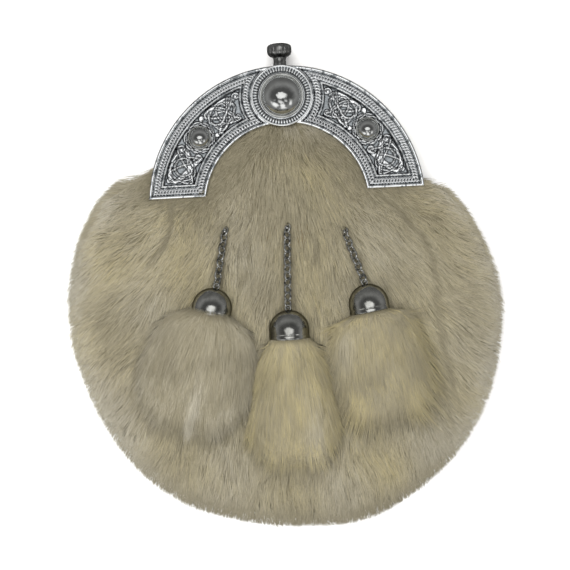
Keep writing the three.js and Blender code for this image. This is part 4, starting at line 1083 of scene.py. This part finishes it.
eyeRing = pointsAt(eyeReach * np.cos(eyeTurn), eyeReach * np.sin(eyeTurn) + eyeMiddle,
                   bell["eyeWire"] * np.sin(wireTurn)).reshape(-1, 3)
bellFaces = [*cupFaces, gridFaces(28, 10, True, True)[:, ::-1] + len(cup)]
for name, tassel in tassels.items():
    origin, turn = tasselPlace(tassel)
    makePiece(f"tassel_bell_{name}_spun", origin + np.vstack([cup, eyeRing]) @ turn.T, bellFaces,
              bellChrome, [f"tassel_bell_{name}"])


# Chains: stadium links of round wire, leaning left and right in turn, from a post on the leather
link = {"length": 5.0, "width": 4.8, "wire": 0.52, "hook": 0.25, "steps": 28, "sides": 9}
linkTurn = 2 * np.pi * (np.arange(link["steps"]) + 0.5) / link["steps"]
linkOut = pointsAt(np.cos(linkTurn), np.sin(linkTurn), 0)
linkMiddle = linkOut * (link["width"] / 2 - link["wire"])
linkMiddle[:, 0] += np.sign(linkOut[:, 0]) * (link["length"] - link["width"]) / 2
wireAngle = circle(link["sides"])[None, :, None]
wireRing = linkOut[:, None] * np.cos(wireAngle) + np.array([0, 0, 1]) * np.sin(wireAngle)
oneLink = (linkMiddle[:, None] + link["wire"] * wireRing).reshape(-1, 3)
linkFaces = gridFaces(link["steps"], link["sides"], True, True)
hooked = link["length"] - 4 * link["wire"] + link["hook"]
postTop, postR = post["height"], post["radius"]
postProfile = [[0, 0], [postR, 0], [postR, postTop - 0.5], [postR - 0.2, postTop - 0.1], [0, postTop]]
postPoints, postFaces = turned(postProfile, 20)
for name, tassel in tassels.items():
    foot, start, eye = chainRun(tassel)
    span = eye - start
    along = span / np.linalg.norm(span)
    pitch = np.linalg.norm(span) / (tassel["links"] - 1 + (link["length"] / 2 - link["wire"]) / hooked)
    up = unit(np.array([0, 0, 1]) - along[2] * along)
    across = np.cross(up, along)
    order = np.arange(tassel["links"])
    normal = unit(np.where((order % 2 == 1)[:, None], up + across, up - across))
    stretched = np.repeat(along[None] * pitch / hooked, len(order), 0)
    basis = np.stack([stretched, np.cross(normal, along), normal], 1)
    links = (start + along * (pitch * order)[:, None, None] + oneLink @ basis).reshape(-1, 3)
    faces = [(linkFaces + (order * len(oneLink))[:, None, None]).reshape(-1, 4)]
    faces += [rows + len(links) for rows in postFaces]
    makePiece(f"tassel_chain_{name}_wire", np.vstack([links, postPoints + foot]), faces,
              chainSteel, [f"tassel_chain_{name}"])


# Leather of the back, the belt loops and the pouch

def leatherMaterial(name, colour, dark, grain, rough):
    # finished hide: pebbled grain with creases between, glossier on the pebbles, rubbed paler in patches
    material, shader = startMaterial(name, {"Specular IOR Level": 0.45})
    where = addNode(material, "ShaderNodeTexCoord").outputs["Object"]
    pebbles = addNode(material, "ShaderNodeTexVoronoi", {"feature": "SMOOTH_F1"},
                      {"Vector": where, "Scale": 1000 / grain, "Smoothness": 0.6}).outputs["Distance"]
    bump = addNode(material, "ShaderNodeBump", {"invert": True},
                   {"Height": pebbles, "Distance": 0.0004, "Strength": 0.8})
    tint = colourRamp(material, noise(material, 22, 4.0), [(0.35, dark), (0.68, colour)])
    feed(material, shader, {"Base Color": tint,
                            "Roughness": mapped(material, pebbles, (0.0, 1.0), rough),
                            "Normal": bump.outputs["Normal"]})
    return material


# Black pebbled cowhide, 1.6 mm grain, for the back and the loops
blackCowhide = leatherMaterial("black pebbled cowhide", "2b2724", "1a1715", 1.6, (0.38, 0.62))
# Tan split leather of the pouch, finer grain and duller
tanSplit = leatherMaterial("tan split leather", "8c7654", "6f5c40", 1.1, (0.6, 0.8))
# Waxed linen thread, pale against the black, in 0.6 mm plies
linenThread, threadShader = startMaterial("waxed linen thread", {"Roughness": 0.55})
threadTint = colourRamp(linenThread, noise(linenThread, 0.6, 3.0), [(0.3, "57503f"), (0.7, "8d8468")])
feed(linenThread, threadShader, {"Base Color": threadTint})
thread = {"half": 0.36, "sides": 6, "share": [-0.5, -0.32, 0, 0.32, 0.5],
          "fat": [0.25, 0.85, 1.0, 0.85, 0.25]}


def stitches(name, path, heading, normal, length, node):
    # a row of short stitches: each a six-sided spindle laid along the seam, fattest in its middle
    share = (np.array(thread["share"]) * length)[None, :, None, None]
    fat = (np.array(thread["fat"]) * thread["half"])[None, :, None, None]
    rows, sides = len(thread["share"]), thread["sides"]
    angle = circle(sides)[None, None, :, None]
    path, heading, normal = path[:, None, None], heading[:, None, None], normal[:, None, None]
    ring = np.cross(normal, heading) * np.cos(angle) + normal * np.sin(angle)
    points = path + heading * share + ring * fat
    shift = (np.arange(len(path)) * rows * sides)[:, None, None]
    caps = np.stack([np.arange(sides)[::-1], np.arange(sides) + (rows - 1) * sides])
    faceSets = [(gridFaces(rows, sides, False, True)[None] + shift).reshape(-1, 4)[:, ::-1],
                (caps[None] + shift).reshape(-1, sides)]
    makePiece(name, points.reshape(-1, 3), faceSets, linenThread, [node])


# Back panel: a 2 mm sheet in the pouch's outline, rounded at its edge, with a sewing groove 4.5 mm in.
# rows are pairs of inset from the edge and rise, from the middle of the back face round to the front.
panel = {
    "spokes": 180, "thick": 2.0, "grooveAt": 4.5, "pitch": 4.4, "stitch": 3.1, "sunk": 0.42,
    "rows": [(60, 0), (40, 0), (20, 0), (10, 0), (6.4, 0), (5.5, 0.05), (5.0, 0.45), (4.5, 0.55), (4.0, 0.45),
             (3.5, 0.05), (2.2, 0), (0.9, 0.03), (0.35, 0.22), (0.05, 0.6), (0.0, 1.0), (0.05, 1.4),
             (0.35, 1.78), (0.9, 1.97), (10, 2.0), (40, 2.0), (60, 2.0)],
}


def pouchRing(degrees, inset):
    # the pouch's outline less an inset, as x and y at each bearing from the bottom round by the right
    reach = pouchEdge(np.where(degrees > 90, 180 - degrees, degrees)) - inset
    return reach * np.cos(np.radians(degrees)), reach * np.sin(np.radians(degrees))


spokes = panel["spokes"]
rowInset, rowRise = np.array(panel["rows"], float).T[:, :, None]
panelX, panelY = pouchRing(np.linspace(-90, 270, spokes, endpoint=False), rowInset)
panelGrid = pointsAt(panelX, panelY, backAt(panelY) + rowRise).reshape(-1, 3)
panelPoints = np.vstack([panelGrid, [0, 0, 0], [0, 0, panel["thick"]]])
firstRow = np.arange(spokes)
lastRow = firstRow + (len(rowInset) - 1) * spokes
middleId = np.full(spokes, len(panelGrid))
panelFaces = [gridFaces(len(rowInset), spokes, False, True),
              np.stack([middleId, firstRow, np.roll(firstRow, -1)], -1),
              np.stack([middleId + 1, np.roll(lastRow, -1), lastRow], -1)]
makePiece("back_panel_hide", panelPoints, panelFaces, blackCowhide, ["back_panel"])

seamX, seamY = pouchRing(np.linspace(-90, 270, 3000), panel["grooveAt"])
walked = np.concatenate([[0], np.cumsum(np.hypot(np.diff(seamX), np.diff(seamY)))])


def seamAt(distance):
    # places along the sewing groove by distance walked from the bottom
    x, y = np.interp(distance, walked, seamX), np.interp(distance, walked, seamY)
    return pointsAt(x, y, backAt(y) + panel["sunk"])


spots = np.arange(2.0, walked[-1] - 1, panel["pitch"])
seamHeading = unit(seamAt(spots + 0.5) - seamAt(spots))
seamNormal = unit(np.cross(seamHeading, np.cross(np.array([0, 0, 1.0]), seamHeading)))
stitches("back_panel_stitches", seamAt(spots), seamHeading, seamNormal, panel["stitch"], "back_panel")

# Belt loops: a strap along Y that stands off the back, with rounded edges, sewn at both tabs.
# Half a strap as rows of distance from its middle, lower and upper height; half a section as place and share.
loop = {
    "x": 27, "y": 75.5, "width": 18, "pitch": 3.4, "stitch": 2.5, "sewnHalf": 6.8, "sewnZ": 4.62,
    "sewnAt": (-26.2, -22.6, 22.6, 26.2),
    "half": [(0, 0, 2), (7, 0, 2), (13, 0, 2), (16, 0.05, 2.1), (17, 0.45, 2.6), (18.5, 2.3, 4.6),
             (20, 4.55, 6.6), (21, 4.65, 6.65), (24, 4.65, 6.65), (27.6, 4.65, 6.65), (28, 4.85, 6.45)],
    "across": [-0.5, -0.485, -0.45, -0.2, 0.2, 0.45, 0.485, 0.5], "edge": [0.3, 0.1, 0, 0, 0, 0, 0.1, 0.3],
}
halfStrap = np.array(loop["half"], float)
strapRows = np.vstack([halfStrap[:0:-1] * [-1, 1, 1], halfStrap])
across, edge = np.array(loop["across"]), np.array(loop["edge"])
crossX = np.concatenate([across, across[::-1]]) * loop["width"]
crossShare = np.concatenate([edge, 1 - edge[::-1]])
strapY, strapLow, strapHigh = strapRows.T[:, :, None]
strapGrid = pointsAt(crossX, strapY, strapLow + (strapHigh - strapLow) * crossShare).reshape(-1, 3)
strapSides = len(crossX)
strapEnds = [np.arange(strapSides)[None, ::-1], (np.arange(strapSides) + len(strapGrid) - strapSides)[None]]
strapFaces = [gridFaces(len(strapRows), strapSides, False, True), *strapEnds]
rowX = np.arange(-loop["sewnHalf"], loop["sewnHalf"] + 0.01, loop["pitch"])
sewn = pointsAt(rowX, np.array(loop["sewnAt"])[:, None], loop["sewnZ"]).reshape(-1, 3)
headings = np.tile([1.0, 0, 0], (len(sewn), 1))
normals = np.tile([0, 0, -1.0], (len(sewn), 1))
for side, sign in (("left", -1), ("right", 1)):
    place = np.array([sign * loop["x"], loop["y"], 0])
    node = f"belt_loop_{side}"
    makePiece(f"{node}_strap", strapGrid + place, strapFaces, blackCowhide, [node])
    stitches(f"{node}_stitches", sewn + place, headings, normals, loop["stitch"], node)

# Pouch wall: the leather front under the fur, 2 mm thick, open at the mouth under the cantle,
# with a straight notch at the top for the clasp block
wall = {"spokes": 144, "steps": [0.02, 0.2, 0.4, 0.55, 0.7, 0.8, 0.88, 0.94, 0.98, 0.999], "thick": 2.0,
        "notchY": 95.5, "notchHalf": 9.5}
spoke = np.radians(np.linspace(-90, 270, wall["spokes"], endpoint=False))
wallReach = pouchEdge(np.degrees(np.arcsin(np.sin(spoke))))
notch = wall["notchY"] / np.maximum(np.sin(spoke), 0.05)
inNotch = (np.abs(notch * np.cos(spoke)) < wall["notchHalf"]) & (np.sin(spoke) > 0)
wallReach = np.where(inNotch, np.minimum(wallReach, notch), wallReach)
steps = np.array(wall["steps"])[:, None]
wallGrids = []
for inset in (0.0, wall["thick"]):
    wallX = (wallReach - inset) * steps * np.cos(spoke)
    wallY = (wallReach - inset) * steps * np.sin(spoke)
    wallGrids.append(pointsAt(wallX, wallY, leatherHeight(wallX, wallY, inset)))
wallIds = np.arange(wall["spokes"])
makePiece("pouch_wall_hide", np.concatenate([wallGrids[0], wallGrids[1][::-1]]),
          [gridFaces(2 * len(steps), wall["spokes"], False, True), wallIds[None, ::-1],
           (wallIds + (2 * len(steps) - 1) * wall["spokes"])[None]],
          tanSplit, ["pouch_wall"])


# Floor and light: a white sheet, a sky that is bright overhead and dim at the horizon, and soft lamps
stageLook = {
    "floor": "fbfaf8", "floorHalf": 6, "floorZ": -0.0003, "aim": (0, 0, 0.02),
    "lamps": [{"place": (-0.15, 0.12, 1.3), "size": 1.3, "watts": 23.5},
              {"place": (-0.5, -0.6, 0.75), "size": 0.75, "watts": 1.5},
              {"place": (0.55, -0.5, 0.75), "size": 0.75, "watts": 1.5}],
    "sky": [(0.0, 1.4), (0.11, 1.4), (0.16, 0.1), (0.3, 0.12), (0.48, 0.34), (0.66, 0.2), (1.0, 0.1)],
    "clutter": 0.24, "front": 1.3,
}
floorMesh = bpy.data.meshes.new("floor")
sheetCorners = [(x * stageLook["floorHalf"], y * stageLook["floorHalf"], stageLook["floorZ"])
                for x, y in ((-1, -1), (1, -1), (1, 1), (-1, 1))]
floorMesh.from_pydata(sheetCorners, [], [(0, 1, 2, 3)])
floor = bpy.data.objects.new("floor", floorMesh)
bpy.context.scene.collection.objects.link(floor)
paper, _ = startMaterial("white paper", {"Roughness": 0.7, "Base Color": linear(stageLook["floor"])})
floorMesh.materials.append(paper)
floor.visible_glossy = False  # the chrome mirrors the dim room, not the sheet

world = bpy.data.worlds.new("studio")
bpy.context.scene.world = world
world.use_nodes = True
sky = addNode(world, "ShaderNodeTexCoord").outputs["Generated"]


def skyNoise(scale, detail):
    node = addNode(world, "ShaderNodeTexNoise", None, {"Vector": sky, "Scale": scale, "Detail": detail})
    return node.outputs["Fac"]


# how far a direction is from straight up, with a panel overhead that is wider from side to side
skyFrom = addNode(world, "ShaderNodeVectorMath", {"operation": "MULTIPLY_ADD"},
                  {0: sky, 1: (0.62, 1.0, -1.0), 2: (0.0, 0.0, 1.0)})
skyFar = addNode(world, "ShaderNodeVectorMath", {"operation": "LENGTH"}, {0: skyFrom.outputs[0]})
# a room's clutter bends the edges of the panel
skyBent = maths(world, "MULTIPLY_ADD", skyNoise(7.0, 3.0), stageLook["clutter"], skyFar.outputs["Value"])
skyHalf = maths(world, "MULTIPLY_ADD", skyBent, 0.5, -stageLook["clutter"] / 4)
skyRise = colourRamp(world, skyHalf, stageLook["sky"])
# the front of the room, towards -Y, is lighter in a few wide patches well above the horizon
skySides = addNode(world, "ShaderNodeSeparateXYZ", None, {"Vector": sky}).outputs
skyFront = mapped(world, skySides["Y"], (-0.2, -0.6), (0.0, stageLook["front"]), True)
skyHigh = mapped(world, skySides["Z"], (0.3, 0.5), (0.0, 1.0), True)
skyPatches = mapped(world, skyNoise(2.6, 1.0), (0.45, 0.6), (0.0, 1.0), True)
skyGlow = maths(world, "MULTIPLY", maths(world, "MULTIPLY", skyFront, skyHigh), skyPatches)
skyAll = addNode(world, "ShaderNodeVectorMath", {"operation": "ADD"}, {0: skyRise, 1: skyGlow}).outputs[0]
feed(world, world.node_tree.nodes["Background"], {"Color": skyAll})
for number, lamp in enumerate(stageLook["lamps"]):
    light = bpy.data.objects.new(f"lamp_{number + 1}", bpy.data.lights.new(f"lamp_{number + 1}", "AREA"))
    light.data.energy = lamp["watts"]
    light.data.shape = "DISK"
    light.data.size = lamp["size"]
    light.visible_glossy = False  # the chrome mirrors the room, not the lamps
    light.location = lamp["place"]
    aim = np.array(lamp["place"]) - stageLook["aim"]
    light.rotation_euler = (np.arctan2(np.hypot(aim[0], aim[1]), aim[2]), 0, np.arctan2(aim[0], -aim[1]))
    bpy.context.scene.collection.objects.link(light)
print("stage set")
